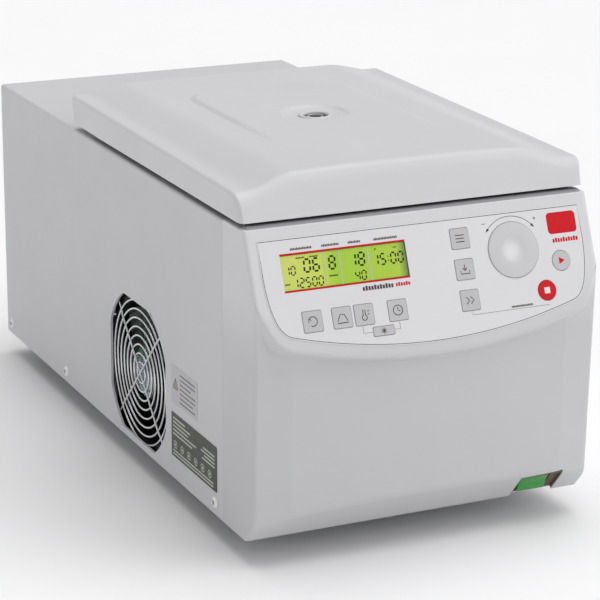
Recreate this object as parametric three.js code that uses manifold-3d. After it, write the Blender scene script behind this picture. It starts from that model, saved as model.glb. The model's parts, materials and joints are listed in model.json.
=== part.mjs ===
// Refrigerated bench-top micro centrifuge with a hinged lid, sloped console and angle rotor.
// Millimetres, +Z up, +Y to the back, origin under the middle of the housing on the bench.
import * as THREE from 'three';
import { mergeVertices } from 'three/addons/utils/BufferGeometryUtils.js';
import Module from 'manifold-3d';

const wasm = await Module();
wasm.setup();

// ---- Driving dimensions ----
const WIDTH = 280;
const HALF = WIDTH / 2;
const FOOT_HEIGHT = 20;
const DECK_TOP = 252;
const REAR = 290;
const SEAM = -215;
const LID_FRONT = -247;
const LID_REAR = 98;
const LID_BOTTOM = 257.4;
const LID_BAND = 278;
const LID_CROWN = 288.5;
const GAP = 0.3;
const SHEET = 2;
const WALL = 3;
const SHEET_BEND = 4;
const INNER_BEND = 1.7;
const PAN_HEIGHT = 16;
const FOOT_RADIUS = 16;
const FOOT_X = 98;
const FOOT_ROWS = { front: -178, rear: 255 };

// Facets of a round form: ordinary and large ones.
const ROUND = 28;
const FINE = 36;

// Console plane: top edge and slope back from the vertical.
const CONSOLE_Y = -250.8;
const CONSOLE_Z = DECK_TOP + 0.5;
const CONSOLE_SLOPE = THREE.MathUtils.degToRad(22.7);
const OVERLAY_SIDE = 131.3;
const OVERLAY_TOP = 8;
const OVERLAY_THICK = 1.2;

// Console pieces: name, x and y of each key's middle, in console coordinates.
const SQUARE_KEYS = [
  ['key_speed', -97.8, -68.9],
  ['key_ramp', -74.6, -68.9],
  ['key_temperature', -57.2, -68.9],
  ['key_time', -30.3, -68.9],
  ['key_setup', 28.5, -23.3],
  ['key_store', 28.6, -46.1],
  ['key_short_spin', 29, -68.9],
];
const WIDE_KEY = ['key_precool', -43.6, -82.2];
const ROUND_KEYS = [['key_start', 109.4, -48.6], ['key_stop', 93.6, -69.2]];
const KEY_SIZE = 15;
const KEY_CORNER = 1.2;
const KEY_FOOT = -3.9;
const KEY_TOP = 0.6;
const WIDE_KEY_SIZE = [16.8, 6.6];
const ROUND_KEY_RADIUS = 7.5;
const DIAL = { x: 71, y: -36.3, radius: 20.8 };
const DISPLAY = { left: -115, right: -16.4, top: -20.4, bottom: -45.2 };
const BOARD_DEPTH = 10.6;
const BOARD_THICK = 1.6;

// Lower front: convex face, leaning slightly forward as it rises, with a chamfer at the bottom.
const FACE_CENTRE = -278.5;
const FACE_SHOULDER_X = 112;
const FACE_SHOULDER_Y = -274;
const FACE_SIDE_Y = -268.5;
const FACE_LEAN = 0.024;
const LEAN_FROM = 35;
const CHAMFER_Y = -256.5;
const CHAMFER_ANGLE = Math.atan2(20.5, 24);

// Power switch: opening in the chamfer, and the rocker's pivot and tilt, in chamfer coordinates.
const SWITCH_LEFT = 80;
const SWITCH_RIGHT = 117;
const SWITCH_TOP = 27.5;
const ROCKER_PIVOT = [98.5, 14.6, -2.6];
const ROCKER_LENGTH = 30;
const ROCKER_TILT = THREE.MathUtils.degToRad(7);

// Chamber, rotor and drive share one upright axis.
const AXIS_Y = -74.5;
const BOWL_RADIUS = 100;
const BOWL_FLOOR = 160;
const RIM_RADIUS = 112;
const DECK_HOLE = 105;
const SHAFT_RADIUS = 8;
const ROTOR_HOLES = 12;
const TUBE_RADIUS = 8.8;
const TUBE_TILT = THREE.MathUtils.degToRad(30);
const TUBE_DEPTH = 42;
const MOUTH_RADIUS = 52;
const MOUTH_HEIGHT = 210;
const MOUTH_RISE = 14;
const ROTOR_LOW = 166;
const ROTOR_TOP = 226;
const ROTOR_RADIUS = 90;
const ROTOR_LID_RADIUS = 82;
const KNOB_BORE = 4.3;
const KNOB_TOP = 248;
const SIGHT_BORE = 16.3;
const SIGHT_RADIUS = 10;
const COIL_RADIUS = 107.4;
const COIL_TURNS = 4;
const COIL_LOW = 170;
const COIL_RISE = 64;
const DAMPER_CIRCLE = 52;
const DAMPERS = 3;

// Fan in the left side.
const FAN_Y = -42.5;
const FAN_Z = 82;
const FAN_SIZE = 119;
const FAN_DEPTH = 25;
const FAN_FACE = -135.4;
const CUTOUT_RADIUS = 63;
const CUTOUT_HALF = 61.5;
const CUTOUT_LOW = 25.5;
const CUTOUT_HIGH = 141;
const FAN_HUB = 19;
const FAN_BORE = 57;
const GUARD_X = -136.6;
const GUARD_RINGS = 5;
const GUARD_STEP = 11;
const GUARD_FIRST = 13.6;
const GUARD_WIRE = 0.9;

// Lid hinge line.
const HINGE_Y = LID_REAR - 9;
const HINGE_Z = LID_BOTTOM + 5;
const HINGE_X = 96;
const PIN_RADIUS = 2.5;
const KNUCKLE_RADIUS = 5;

// Lock under the deck, at the front of the chamber.
const SLOT = [-7, 7, -212, -196];
const HOOK_X = 7;
const HOOK_Z = 222;
const HOOK_PIN = 1.6;
const HOOK_RELEASED = THREE.MathUtils.degToRad(18);

// Opening of the power inlet in the rear panel, and the compressor's upright axis.
const INLET = { left: -109, right: -81, low: 49, high: 71 };
const COMPRESSOR = { x: 18, y: 176 };

// ---- Materials ----
function material(color, roughness, metalness) {
  return new THREE.MeshStandardMaterial({ color, roughness, metalness });
}
const paint = material(0xb4b4b7, 0.5, 0);
const plastic = material(0xd6d6d8, 0.45, 0);
const foil = material(0xdadadc, 0.4, 0);
const keyGrey = material(0xc6c6ca, 0.45, 0);
const red = material(0xce142b, 0.4, 0);
const green = material(0x4e8b4f, 0.35, 0);
const clear = material(0xb3d239, 0.1, 0);
const rubber = material(0x202022, 0.85, 0);
const steel = material(0xb8babd, 0.3, 1);
const aluminium = material(0xa9adb2, 0.35, 1);
const copper = material(0xb87347, 0.35, 1);
const black = material(0x18181a, 0.5, 0);
const board = material(0x1f5a35, 0.6, 0);
const foam = material(0xd9d2b8, 0.95, 0);
const plateGrey = material(0x5d6059, 0.5, 0);
const glass = material(0x20282c, 0.08, 0);

// ---- Solids ----
function toSolid(geometry) {
  const bare = geometry.clone();
  bare.deleteAttribute('normal');
  bare.deleteAttribute('uv');
  const welded = mergeVertices(bare, 1e-4);
  const corners = welded.index.array;
  const kept = [];
  for (let i = 0; i < corners.length; i += 3) {
    const [a, b, c] = [corners[i], corners[i + 1], corners[i + 2]];
    if (a !== b && b !== c && c !== a) kept.push(a, b, c);
  }
  const vertProperties = new Float32Array(welded.attributes.position.array);
  const triVerts = new Uint32Array(kept);
  return new wasm.Manifold(new wasm.Mesh({ numProp: 3, vertProperties, triVerts }));
}

function toGeometry(solid) {
  const mesh = solid.getMesh();
  const geometry = new THREE.BufferGeometry();
  geometry.setAttribute('position', new THREE.BufferAttribute(new Float32Array(mesh.vertProperties), 3));
  geometry.setIndex(new THREE.BufferAttribute(new Uint32Array(mesh.triVerts), 1));
  geometry.computeVertexNormals();
  return geometry;
}

function join(...geometries) {
  return toGeometry(geometries.map(toSolid).reduce((whole, next) => whole.add(next)));
}

function cut(base, ...tools) {
  return toGeometry(tools.map(toSolid).reduce((rest, tool) => rest.subtract(tool), toSolid(base)));
}

function common(one, other) {
  return toGeometry(toSolid(one).intersect(toSolid(other)));
}

// ---- Shapes ----
function box(x0, x1, y0, y1, z0, z1) {
  const geometry = new THREE.BoxGeometry(x1 - x0, y1 - y0, z1 - z0);
  return geometry.translate((x0 + x1) / 2, (y0 + y1) / 2, (z0 + z1) / 2);
}

// Closed ring or solid of revolution about the upright axis at (x, y); profile of [radius, z].
function turned(profile, x, y, segments = ROUND) {
  const points = profile.map(([r, z]) => new THREE.Vector2(r, z));
  const closed = points[0].x > 0 || points[points.length - 1].x > 0;
  if (closed) points.push(points[0].clone());
  return new THREE.LatheGeometry(points, segments).rotateX(Math.PI / 2).translate(x, y, 0);
}

function disc(radius, z0, z1, x, y, segments = ROUND) {
  const geometry = new THREE.CylinderGeometry(radius, radius, z1 - z0, segments).rotateX(Math.PI / 2);
  return geometry.translate(x, y, (z0 + z1) / 2);
}

// Cylinder along X.
function rod(radius, x0, x1, y, z, segments = 20) {
  const geometry = new THREE.CylinderGeometry(radius, radius, x1 - x0, segments).rotateZ(Math.PI / 2);
  return geometry.translate((x0 + x1) / 2, y, z);
}

function outline(points) {
  return new THREE.Shape(points.map(([u, v]) => new THREE.Vector2(u, v)));
}

function extrude(shape, depth, curveSegments = 8) {
  return new THREE.ExtrudeGeometry(shape, { depth, bevelEnabled: false, curveSegments });
}

// Outline of [y, z] points swept from x0 to x1.
function prismX(points, x0, x1) {
  const turn = new THREE.Matrix4().makeBasis(
    new THREE.Vector3(0, 1, 0), new THREE.Vector3(0, 0, 1), new THREE.Vector3(1, 0, 0));
  return extrude(outline(points), x1 - x0).applyMatrix4(turn).translate(x0, 0, 0);
}

// Shape in the XZ plane swept from y0 to y1.
function prismY(shape, y0, y1) {
  return extrude(shape, y1 - y0).rotateX(Math.PI / 2).translate(0, y1, 0);
}

function tube(path, radius, steps, sides) {
  const section = new THREE.Shape();
  section.absarc(0, 0, radius, 0, 2 * Math.PI);
  const options = { steps, extrudePath: path, curveSegments: sides / 2, bevelEnabled: false };
  return new THREE.ExtrudeGeometry(section, options);
}

// Places a geometry made in console coordinates: x across, y up the slope, z out of the face.
const consolePlace = new THREE.Matrix4()
  .makeTranslation(0, CONSOLE_Y, CONSOLE_Z)
  .multiply(new THREE.Matrix4().makeRotationX(Math.PI / 2 - CONSOLE_SLOPE));

// Places a geometry made in chamfer coordinates: x across, y up the chamfer, z out of the face.
const chamferPlace = new THREE.Matrix4()
  .makeTranslation(0, CHAMFER_Y, FOOT_HEIGHT)
  .multiply(new THREE.Matrix4().makeRotationX(Math.PI / 2 + CHAMFER_ANGLE));

// ---- Housing ----
function basePan() {
  const side = HALF - SHEET - GAP;
  const rear = REAR - SHEET - 2 * GAP - 0.4;
  const front = CHAMFER_Y + 5;
  const top = FOOT_HEIGHT + PAN_HEIGHT;
  const tray = cut(
    box(-side, side, front, rear, FOOT_HEIGHT, top),
    box(-side + SHEET, side - SHEET, front - 1, rear + 1, FOOT_HEIGHT + SHEET, top + 1),
    box(-side - 1, side + 1, front - 1, SEAM + 4, FOOT_HEIGHT + SHEET, top + 1),
    box(-side - 1, 0, FAN_Y - 68, FAN_Y + 68, FOOT_HEIGHT + SHEET, top + 1),
    box(-side - 1, -HALF + WALL + GAP, front - 1, SEAM + 1, FOOT_HEIGHT - 1, top + 1),
    box(HALF - WALL - GAP, side + 1, front - 1, SEAM + 1, FOOT_HEIGHT - 1, top + 1));
  const slots = [];
  for (let y = 120; y < 216; y += 16) slots.push(box(-40, 40, y, y + 6, FOOT_HEIGHT - 1, FOOT_HEIGHT + 4));
  return cut(tray, ...slots);
}

function cabinetOutline(inset, low) {
  const shape = new THREE.Shape();
  const side = HALF - inset;
  const top = DECK_TOP - inset;
  const bend = Math.max(SHEET_BEND - inset, INNER_BEND);
  shape.moveTo(-side, low);
  shape.lineTo(side, low);
  shape.lineTo(side, top - bend);
  shape.absarc(side - bend, top - bend, bend, 0, Math.PI / 2);
  shape.absarc(-side + bend, top - bend, bend, Math.PI / 2, Math.PI);
  return shape;
}

function fanCutout() {
  const hole = rod(CUTOUT_RADIUS + 3, -HALF - 5, -HALF + 10, FAN_Y, FAN_Z, FINE);
  const frame = box(-HALF - 5, -HALF + 10, FAN_Y - CUTOUT_HALF, FAN_Y + CUTOUT_HALF, CUTOUT_LOW, CUTOUT_HIGH);
  return common(hole, frame);
}

function cabinetShell() {
  const vents = [];
  for (let y = 110; y < 230; y += 14) vents.push(box(HALF - 5, HALF + 5, y, y + 5, 70, 150));
  return cut(
    prismY(cabinetOutline(0, FOOT_HEIGHT), SEAM, REAR),
    prismY(cabinetOutline(SHEET, FOOT_HEIGHT - 1), SEAM - 1, REAR + 1),
    disc(DECK_HOLE, DECK_TOP - 10, DECK_TOP + 10, 0, AXIS_Y, FINE),
    box(...SLOT, DECK_TOP - 10, DECK_TOP + 10),
    fanCutout(),
    ...vents);
}

function rearPanel() {
  const vents = [];
  for (let z = 110; z < 220; z += 11) {
    vents.push(box(-110, -20, REAR - 9, REAR + 9, z, z + 4));
    vents.push(box(20, 110, REAR - 9, REAR + 9, z, z + 4));
  }
  return cut(
    prismY(cabinetOutline(SHEET + GAP, FOOT_HEIGHT + SHEET + GAP), REAR - SHEET - 0.4, REAR - 0.4),
    box(INLET.left, INLET.right, REAR - 9, REAR + 9, INLET.low, INLET.high),
    ...vents);
}

// Plan of the lower front body, brought in by inset on every outer side.
function facePlan(inset) {
  const side = HALF - inset;
  const shape = new THREE.Shape();
  shape.moveTo(-side, SEAM + 10);
  shape.lineTo(-side, FACE_SIDE_Y + 5 + inset);
  shape.quadraticCurveTo(-side, FACE_SIDE_Y + inset, -side + 7, FACE_SIDE_Y - 1.6 + inset);
  shape.lineTo(-FACE_SHOULDER_X, FACE_SHOULDER_Y + inset);
  const control = 2 * FACE_CENTRE - FACE_SHOULDER_Y + inset;
  shape.quadraticCurveTo(0, control, FACE_SHOULDER_X, FACE_SHOULDER_Y + inset);
  shape.lineTo(side - 7, FACE_SIDE_Y - 1.6 + inset);
  shape.quadraticCurveTo(side, FACE_SIDE_Y + inset, side, FACE_SIDE_Y + 5 + inset);
  shape.lineTo(side, SEAM + 10);
  return shape;
}

function leanForward(geometry) {
  const points = geometry.attributes.position;
  for (let i = 0; i < points.count; i += 1) {
    points.setY(i, points.getY(i) - FACE_LEAN * (points.getZ(i) - LEAN_FROM));
  }
  return geometry;
}

// Outline of the console bulge in console coordinates.
function bulgeOutline(inset) {
  const shape = new THREE.Shape();
  shape.moveTo(-HALF + inset, 10);
  shape.lineTo(-HALF + inset, -34);
  shape.quadraticCurveTo(-HALF + 2 + inset, -86, -113 + inset, -90.5 + inset);
  shape.quadraticCurveTo(0, -120 + inset, 113 - inset, -90.5 + inset);
  shape.quadraticCurveTo(HALF - 2 - inset, -86, HALF - inset, -34);
  shape.lineTo(HALF - inset, 10);
  return shape;
}

function frontBody(inset, low) {
  const lower = leanForward(extrude(facePlan(inset), DECK_TOP - inset - low).translate(0, 0, low));
  const beyondConsole = box(-200, 200, -300, 100, -inset, 120).applyMatrix4(consolePlace);
  const beyondChamfer = box(-200, 200, -60, 60, -inset, 60).applyMatrix4(chamferPlace);
  const bulge = extrude(bulgeOutline(inset), 60 - inset).translate(0, 0, -60).applyMatrix4(consolePlace);
  const room = box(-HALF, HALF, -320, SEAM + 5, low, DECK_TOP - inset);
  return common(join(cut(lower, beyondConsole, beyondChamfer), bulge), room);
}

function overlayOutline(clearance) {
  const side = OVERLAY_SIDE + clearance;
  const shape = new THREE.Shape();
  shape.moveTo(-side, -OVERLAY_TOP + clearance);
  shape.lineTo(-side, -34);
  shape.quadraticCurveTo(-side + 1, -75, -115 - clearance, -79.5 - clearance);
  shape.quadraticCurveTo(0, -111 - clearance, 115 + clearance, -79.5 - clearance);
  shape.quadraticCurveTo(side - 1, -75, side, -34);
  shape.lineTo(side, -OVERLAY_TOP + clearance);
  return shape;
}

function frontFascia() {
  const recess = extrude(overlayOutline(GAP), 10).translate(0, 0, -OVERLAY_THICK - GAP);
  const leftWindow = extrude(outline([
    [-119, -15], [-14, -15], [-14, -90], [-60, -88.5], [-100, -81], [-119, -72]]), 20).translate(0, 0, -15);
  const rightWindow = extrude(outline([
    [16, -11], [119, -11], [119, -70], [105, -79], [16, -88]]), 20).translate(0, 0, -15);
  const switchHole = box(SWITCH_LEFT, SWITCH_RIGHT, -6, SWITCH_TOP, -12, 10).applyMatrix4(chamferPlace);
  const shell = cut(
    frontBody(0, FOOT_HEIGHT),
    frontBody(WALL, FOOT_HEIGHT - 5),
    box(-HALF + WALL, HALF - WALL, CHAMFER_Y + 4, SEAM + 20, FOOT_HEIGHT - 5, DECK_TOP - WALL),
    box(-200, 200, SEAM - GAP, SEAM + 30, 0, 300));
  return cut(
    shell,
    recess.applyMatrix4(consolePlace),
    leftWindow.applyMatrix4(consolePlace),
    rightWindow.applyMatrix4(consolePlace),
    switchHole,
    box(SWITCH_LEFT - 4, SWITCH_RIGHT + 4, CHAMFER_Y - 2, CHAMFER_Y + 6, FOOT_HEIGHT - 5, FOOT_HEIGHT + 6));
}

function foot() {
  const top = FOOT_HEIGHT - GAP;
  const profile = [[0, 0], [FOOT_RADIUS - 2, 0], [FOOT_RADIUS, 2], [FOOT_RADIUS, 16], [13, top], [0, top]];
  return turned(profile, 0, 0, 24);
}

function powerInlet() {
  const flange = box(-120, -70, REAR - 0.1, REAR + 1.5, 46, 74);
  const housing = box(-108.5, -81.5, REAR - 20, REAR, 49.5, 70.5);
  const socket = box(-106, -84, REAR - 16, REAR + 5, 52, 68);
  const shell = cut(join(flange, housing), socket);
  const pins = [-103, -95, -87].map((x) => box(x - 1, x + 1, REAR - 17, REAR - 1, 58, 62));
  return join(shell, ...pins);
}

function powerSupply() {
  const gaps = [];
  for (let y = -184; y < -84; y += 20) gaps.push(box(69, 77, y, y + 12, 30, 140));
  return cut(box(70, 132, -190, -64, FOOT_HEIGHT + SHEET + GAP, 110), ...gaps);
}

// ---- Console (console coordinates) ----
function padShape(width, height, corner) {
  const [a, b] = [width / 2, height / 2];
  const shape = new THREE.Shape();
  shape.moveTo(-a + corner, -b);
  shape.absarc(a - corner, -b + corner, corner, -Math.PI / 2, 0);
  shape.absarc(a - corner, b - corner, corner, 0, Math.PI / 2);
  shape.absarc(-a + corner, b - corner, corner, Math.PI / 2, Math.PI);
  shape.absarc(-a + corner, -b + corner, corner, Math.PI, 1.5 * Math.PI);
  return shape;
}

function keyCap(width, height) {
  return extrude(padShape(width, height, KEY_CORNER), KEY_TOP - KEY_FOOT, 2).translate(0, 0, KEY_FOOT);
}

function keyHole(width, height, x, y) {
  const shape = padShape(width + 2 * GAP, height + 2 * GAP, KEY_CORNER);
  return extrude(shape, 20, 2).translate(x, y, -10);
}

function consoleOverlay() {
  const sheet = extrude(overlayOutline(0), OVERLAY_THICK).translate(0, 0, -OVERLAY_THICK);
  const holes = SQUARE_KEYS.map(([, x, y]) => keyHole(KEY_SIZE, KEY_SIZE, x, y));
  holes.push(keyHole(...WIDE_KEY_SIZE, WIDE_KEY[1], WIDE_KEY[2]));
  ROUND_KEYS.forEach(([, x, y]) => holes.push(disc(ROUND_KEY_RADIUS + GAP, -5, 5, x, y, 20)));
  holes.push(disc(DIAL.radius + GAP, -5, 5, DIAL.x, DIAL.y));
  holes.push(box(DISPLAY.left - GAP, DISPLAY.right + GAP, DISPLAY.bottom - GAP, DISPLAY.top + GAP, -5, 5));
  return cut(sheet, ...holes);
}

function displayWindow() {
  return box(DISPLAY.left, DISPLAY.right, DISPLAY.bottom, DISPLAY.top, -1.3, -0.1);
}

function displayModule() {
  return box(DISPLAY.left - 1, DISPLAY.right + 1, DISPLAY.bottom - 1, DISPLAY.top + 1, -8.4, -1.6);
}

function controlBoard() {
  const shape = outline([[-120, -12], [120, -12], [120, -66], [100, -84], [-100, -84], [-120, -72]]);
  const plate = extrude(shape, BOARD_THICK).translate(0, 0, -BOARD_DEPTH);
  const switches = [...SQUARE_KEYS, WIDE_KEY, ...ROUND_KEYS].map(
    ([, x, y]) => box(x - 2.8, x + 2.8, y - 2.8, y + 2.8, -9.3, -5.4));
  const encoder = turned([[3.3, -9.3], [8, -9.3], [8, -4], [3.3, -4]], DIAL.x, DIAL.y, 16);
  return join(plate, ...switches, encoder);
}

function jogDial() {
  const { radius } = DIAL;
  return turned([
    [0, -8.7], [3, -8.7], [3, -2.6], [radius, -2.6], [radius, 1.1], [radius - 0.8, 1.8],
    [8.5, 1.8], [6, 1.1], [0, 0.8]], 0, 0);
}

// ---- Power switch (chamfer coordinates) ----
function switchFrame() {
  return cut(
    box(80.4, 116.6, 2, 27, -11, -2.2),
    box(83.2, 113.8, 4.4, 24.8, -8.5, 5));
}

// The rocker is tipped to its pressed side; its pivot is at its own origin.
function switchRocker() {
  const side = [[-6, -4.4], [6, -4.4], [9.4, 2.6], [0, 1], [-9.4, 2.6]];
  return prismX(side, -ROCKER_LENGTH / 2, ROCKER_LENGTH / 2).rotateX(-ROCKER_TILT);
}

// ---- Lid ----
// Cross-section of the lid top: side bands, an S-curve and the raised middle.
function lidSection(inset, low) {
  const side = HALF - 0.5 - inset;
  const band = LID_BAND - inset;
  const crown = LID_CROWN - inset;
  const shape = new THREE.Shape();
  shape.moveTo(-side, low);
  shape.lineTo(side, low);
  shape.lineTo(side, band - 2);
  shape.quadraticCurveTo(side, band, side - 2, band);
  shape.lineTo(127 - inset, band + 0.5);
  shape.bezierCurveTo(115, band + 1, 112 - inset, crown - 1, 92, crown);
  shape.lineTo(-92, crown);
  shape.bezierCurveTo(-112 + inset, crown - 1, -115, band + 1, -127 + inset, band + 0.5);
  shape.lineTo(-side + 2, band);
  shape.quadraticCurveTo(-side, band, -side, band - 2);
  return shape;
}

function lidBody(inset, low) {
  const body = prismY(lidSection(inset, low), LID_FRONT + inset, LID_REAR - inset);
  const leaningFront = prismX([
    [LID_FRONT - 20, 200], [LID_FRONT + inset - 8, 200], [LID_FRONT + inset, LID_BOTTOM],
    [LID_FRONT + inset + 7, 280], [LID_FRONT + inset + 14, 295], [LID_FRONT - 20, 295]], -200, 200);
  return cut(body, leaningFront);
}

function raisedPad() {
  const shape = new THREE.Shape();
  shape.moveTo(-78, LID_FRONT + 90);
  shape.lineTo(-76, 10);
  shape.quadraticCurveTo(-72, 42, -42, 44);
  shape.lineTo(42, 44);
  shape.quadraticCurveTo(72, 42, 76, 10);
  shape.lineTo(78, LID_FRONT + 90);
  return extrude(shape, 4).translate(0, 0, 286);
}

function lidShell() {
  const rearChamfer = prismX([
    [LID_REAR - 4, LID_BOTTOM - 1], [LID_REAR + 1, LID_BOTTOM - 1],
    [LID_REAR + 1, LID_BOTTOM + 4]], -200, 200);
  return cut(
    join(lidBody(0, LID_BOTTOM), raisedPad()),
    lidBody(WALL, LID_BOTTOM - 5),
    rearChamfer,
    disc(SIGHT_BORE, 270, 300, 0, AXIS_Y));
}

function lidLiner() {
  const side = HALF - 0.5 - WALL - GAP;
  const front = LID_FRONT + WALL + GAP + 1;
  const plate = box(-side, side, front, LID_REAR - WALL - 4, LID_BOTTOM + 0.6, LID_BOTTOM + 3.1);
  return cut(
    plate,
    disc(SIGHT_BORE, 250, 270, 0, AXIS_Y),
    box(-HINGE_X - 18, -HINGE_X + 18, HINGE_Y - 22, LID_REAR + 5, 250, 270),
    box(HINGE_X - 18, HINGE_X + 18, HINGE_Y - 22, LID_REAR + 5, 250, 270));
}

function lidGasket() {
  const low = DECK_TOP + 2.2;
  const high = LID_BOTTOM + 0.3;
  const profile = [[103, low], [109, low], [110, low + 1.6], [109, high], [103, high], [102, low + 1.6]];
  return turned(profile, 0, AXIS_Y, FINE);
}

function sightPort() {
  const high = 289.2;
  return turned([
    [10.4, LID_BOTTOM - 2], [19, LID_BOTTOM - 2], [19, LID_BOTTOM + 0.3], [14, LID_BOTTOM + 0.3],
    [14, high], [10.4, high], [10.4, 286.5], [9, 286.5], [9, 282], [10.4, 281]], 0, AXIS_Y, 20);
}

function lidStriker() {
  return join(
    box(-2.5, 2.5, -209, -207, 236, 256),
    box(-2.5, 2.5, -200.5, -198.5, 236, 256),
    box(-2.5, 2.5, -209, -198.5, 236, 240),
    box(-14, 14, -211, -196.5, LID_BOTTOM - 2, LID_BOTTOM + 0.3));
}

// Arm bolted inside the lid, with its knuckle on the hinge line; side is -1 or 1.
function hingeArm(side) {
  const centre = side * (HINGE_X - 12.5);
  const flat = box(centre - 3, centre + 3, HINGE_Y - 19, HINGE_Y, LID_BOTTOM + 2, HINGE_Z + 5);
  const tongue = box(centre - 3, centre + 3, HINGE_Y - 70, HINGE_Y - 15, LID_BOTTOM + 3.4, HINGE_Z + 5);
  const knuckle = rod(KNUCKLE_RADIUS, centre - 3, centre + 3, HINGE_Y, HINGE_Z, 14);
  const bore = rod(PIN_RADIUS + GAP, centre - 9, centre + 9, HINGE_Y, HINGE_Z, 14);
  return cut(join(flat, tongue, knuckle), bore);
}

function hingePin() {
  return rod(PIN_RADIUS, -16.5, 16.5, HINGE_Y, HINGE_Z, 14);
}

// Bracket on the deck: two cheeks in front of and below the hinge line, one base plate.
function hingeBracket(side) {
  const centre = side * HINGE_X;
  const base = box(centre - 14, centre + 14, HINGE_Y - 20, HINGE_Y - 6, DECK_TOP + GAP, DECK_TOP + 2.6);
  const cheeks = [centre - side * 5.5, centre + side * 8].map((x) => join(
    prismX([
      [HINGE_Y - 16, DECK_TOP + 2], [HINGE_Y - 7, DECK_TOP + 2], [HINGE_Y + 2.5, HINGE_Z - 4.2],
      [HINGE_Y - 4, HINGE_Z + 2.5]], x - 2.5, x + 2.5),
    rod(KNUCKLE_RADIUS - 0.2, x - 2.5, x + 2.5, HINGE_Y, HINGE_Z, 14)));
  const bore = rod(PIN_RADIUS + GAP, centre - 20, centre + 20, HINGE_Y, HINGE_Z, 14);
  return cut(join(base, ...cheeks), bore);
}

// ---- Lock ----
// Cylinder along Y at the hook's pivot.
function hookPivot(radius) {
  return new THREE.CylinderGeometry(radius, radius, 15, 12).translate(0, -204.4, 0);
}

function lockUnit() {
  const block = cut(
    box(-24, 24, -213, -195.8, 200, DECK_TOP - SHEET - GAP),
    box(-9, 21, -211.3, -197.6, 216, DECK_TOP + 5));
  return join(block, hookPivot(HOOK_PIN).translate(HOOK_X, 0, HOOK_Z));
}

// Hook drawn with its nose over the striker bar, then turned back to its released position.
function lockHook() {
  const profile = new THREE.Shape();
  profile.moveTo(-3.5, 0);
  profile.lineTo(-3.5, 19);
  profile.lineTo(-9, 19);
  profile.lineTo(-9, 22);
  profile.lineTo(-5, 25);
  profile.lineTo(3, 25);
  profile.lineTo(4.5, 0);
  profile.absarc(0.5, 0, 4, 0, -Math.PI, true);
  return cut(prismY(profile, -205.6, -201.8), hookPivot(HOOK_PIN + GAP)).rotateY(HOOK_RELEASED);
}

// ---- Chamber and drive ----
function chamberBowl() {
  return turned([
    [14, BOWL_FLOOR - 1.6], [96, BOWL_FLOOR - 1.6], [101.6, BOWL_FLOOR + 5], [101.6, DECK_TOP + GAP],
    [RIM_RADIUS, DECK_TOP + GAP], [RIM_RADIUS, DECK_TOP + 1.8], [BOWL_RADIUS, DECK_TOP + 1.8],
    [BOWL_RADIUS, BOWL_FLOOR + 6], [94, BOWL_FLOOR], [17, BOWL_FLOOR], [17, BOWL_FLOOR + 3],
    [14, BOWL_FLOOR + 3]], 0, AXIS_Y, FINE);
}

function chamberInsulation() {
  return turned([
    [30, 146], [121, 146], [121, DECK_TOP - SHEET - GAP], [112, DECK_TOP - SHEET - GAP],
    [112, 157], [30, 157]], 0, AXIS_Y, FINE);
}

class CoilPath extends THREE.Curve {
  getPoint(t, target = new THREE.Vector3()) {
    const angle = t * 2 * Math.PI * COIL_TURNS;
    const y = AXIS_Y + COIL_RADIUS * Math.sin(angle);
    return target.set(COIL_RADIUS * Math.cos(angle), y, COIL_LOW + COIL_RISE * t);
  }
}

function evaporatorCoil() {
  return tube(new CoilPath(), 3, 76, 6);
}

function driveMotor() {
  return turned([
    [0, 64.3], [46, 64.3], [46, 132], [40, 138], [24, 138], [24, 150], [10, 150], [10, 142],
    [0, 142]], 0, AXIS_Y);
}

function motorPlate() {
  const shape = new THREE.Shape();
  shape.absarc(0, AXIS_Y, 68, 0, 2 * Math.PI);
  return extrude(shape, 4, 12).translate(0, 0, 60);
}

function motorDamper() {
  const low = FOOT_HEIGHT + SHEET + GAP;
  return turned([[0, low], [11, low], [11, 27], [8, 41], [11, 55], [11, 59.7], [0, 59.7]], 0, 0, 16);
}

function motorShaft() {
  return turned([
    [0, 142.3], [SHAFT_RADIUS, 142.3], [SHAFT_RADIUS, 212], [4, 214.5], [4, 236], [0, 236]], 0, AXIS_Y, 24);
}

function rotor() {
  const bore = SHAFT_RADIUS + GAP;
  const body = turned([
    [bore, ROTOR_LOW], [74, ROTOR_LOW], [ROTOR_RADIUS - 1, 181], [ROTOR_RADIUS, 186], [ROTOR_RADIUS, 218],
    [84, ROTOR_TOP], [76, ROTOR_TOP], [68, 219.2], [36, 200.8], [24, 200.8], [24, 213],
    [bore, 213]], 0, 0, FINE);
  const holes = [];
  for (let i = 0; i < ROTOR_HOLES; i += 1) {
    const hole = new THREE.CylinderGeometry(TUBE_RADIUS, TUBE_RADIUS, TUBE_DEPTH + MOUTH_RISE, 10);
    hole.rotateX(Math.PI / 2).translate(0, 0, (MOUTH_RISE - TUBE_DEPTH) / 2);
    hole.rotateY(-TUBE_TILT).translate(MOUTH_RADIUS, 0, MOUTH_HEIGHT);
    holes.push(hole.rotateZ((i + 0.5) * 2 * Math.PI / ROTOR_HOLES));
  }
  return cut(body, ...holes).translate(0, AXIS_Y, 0);
}

function rotorLid() {
  const low = ROTOR_TOP + GAP;
  const profile = [
    [KNOB_BORE, low], [ROTOR_LID_RADIUS, low], [ROTOR_LID_RADIUS, 229], [30, 231], [KNOB_BORE, 231]];
  return turned(profile, 0, AXIS_Y, FINE);
}

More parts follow.
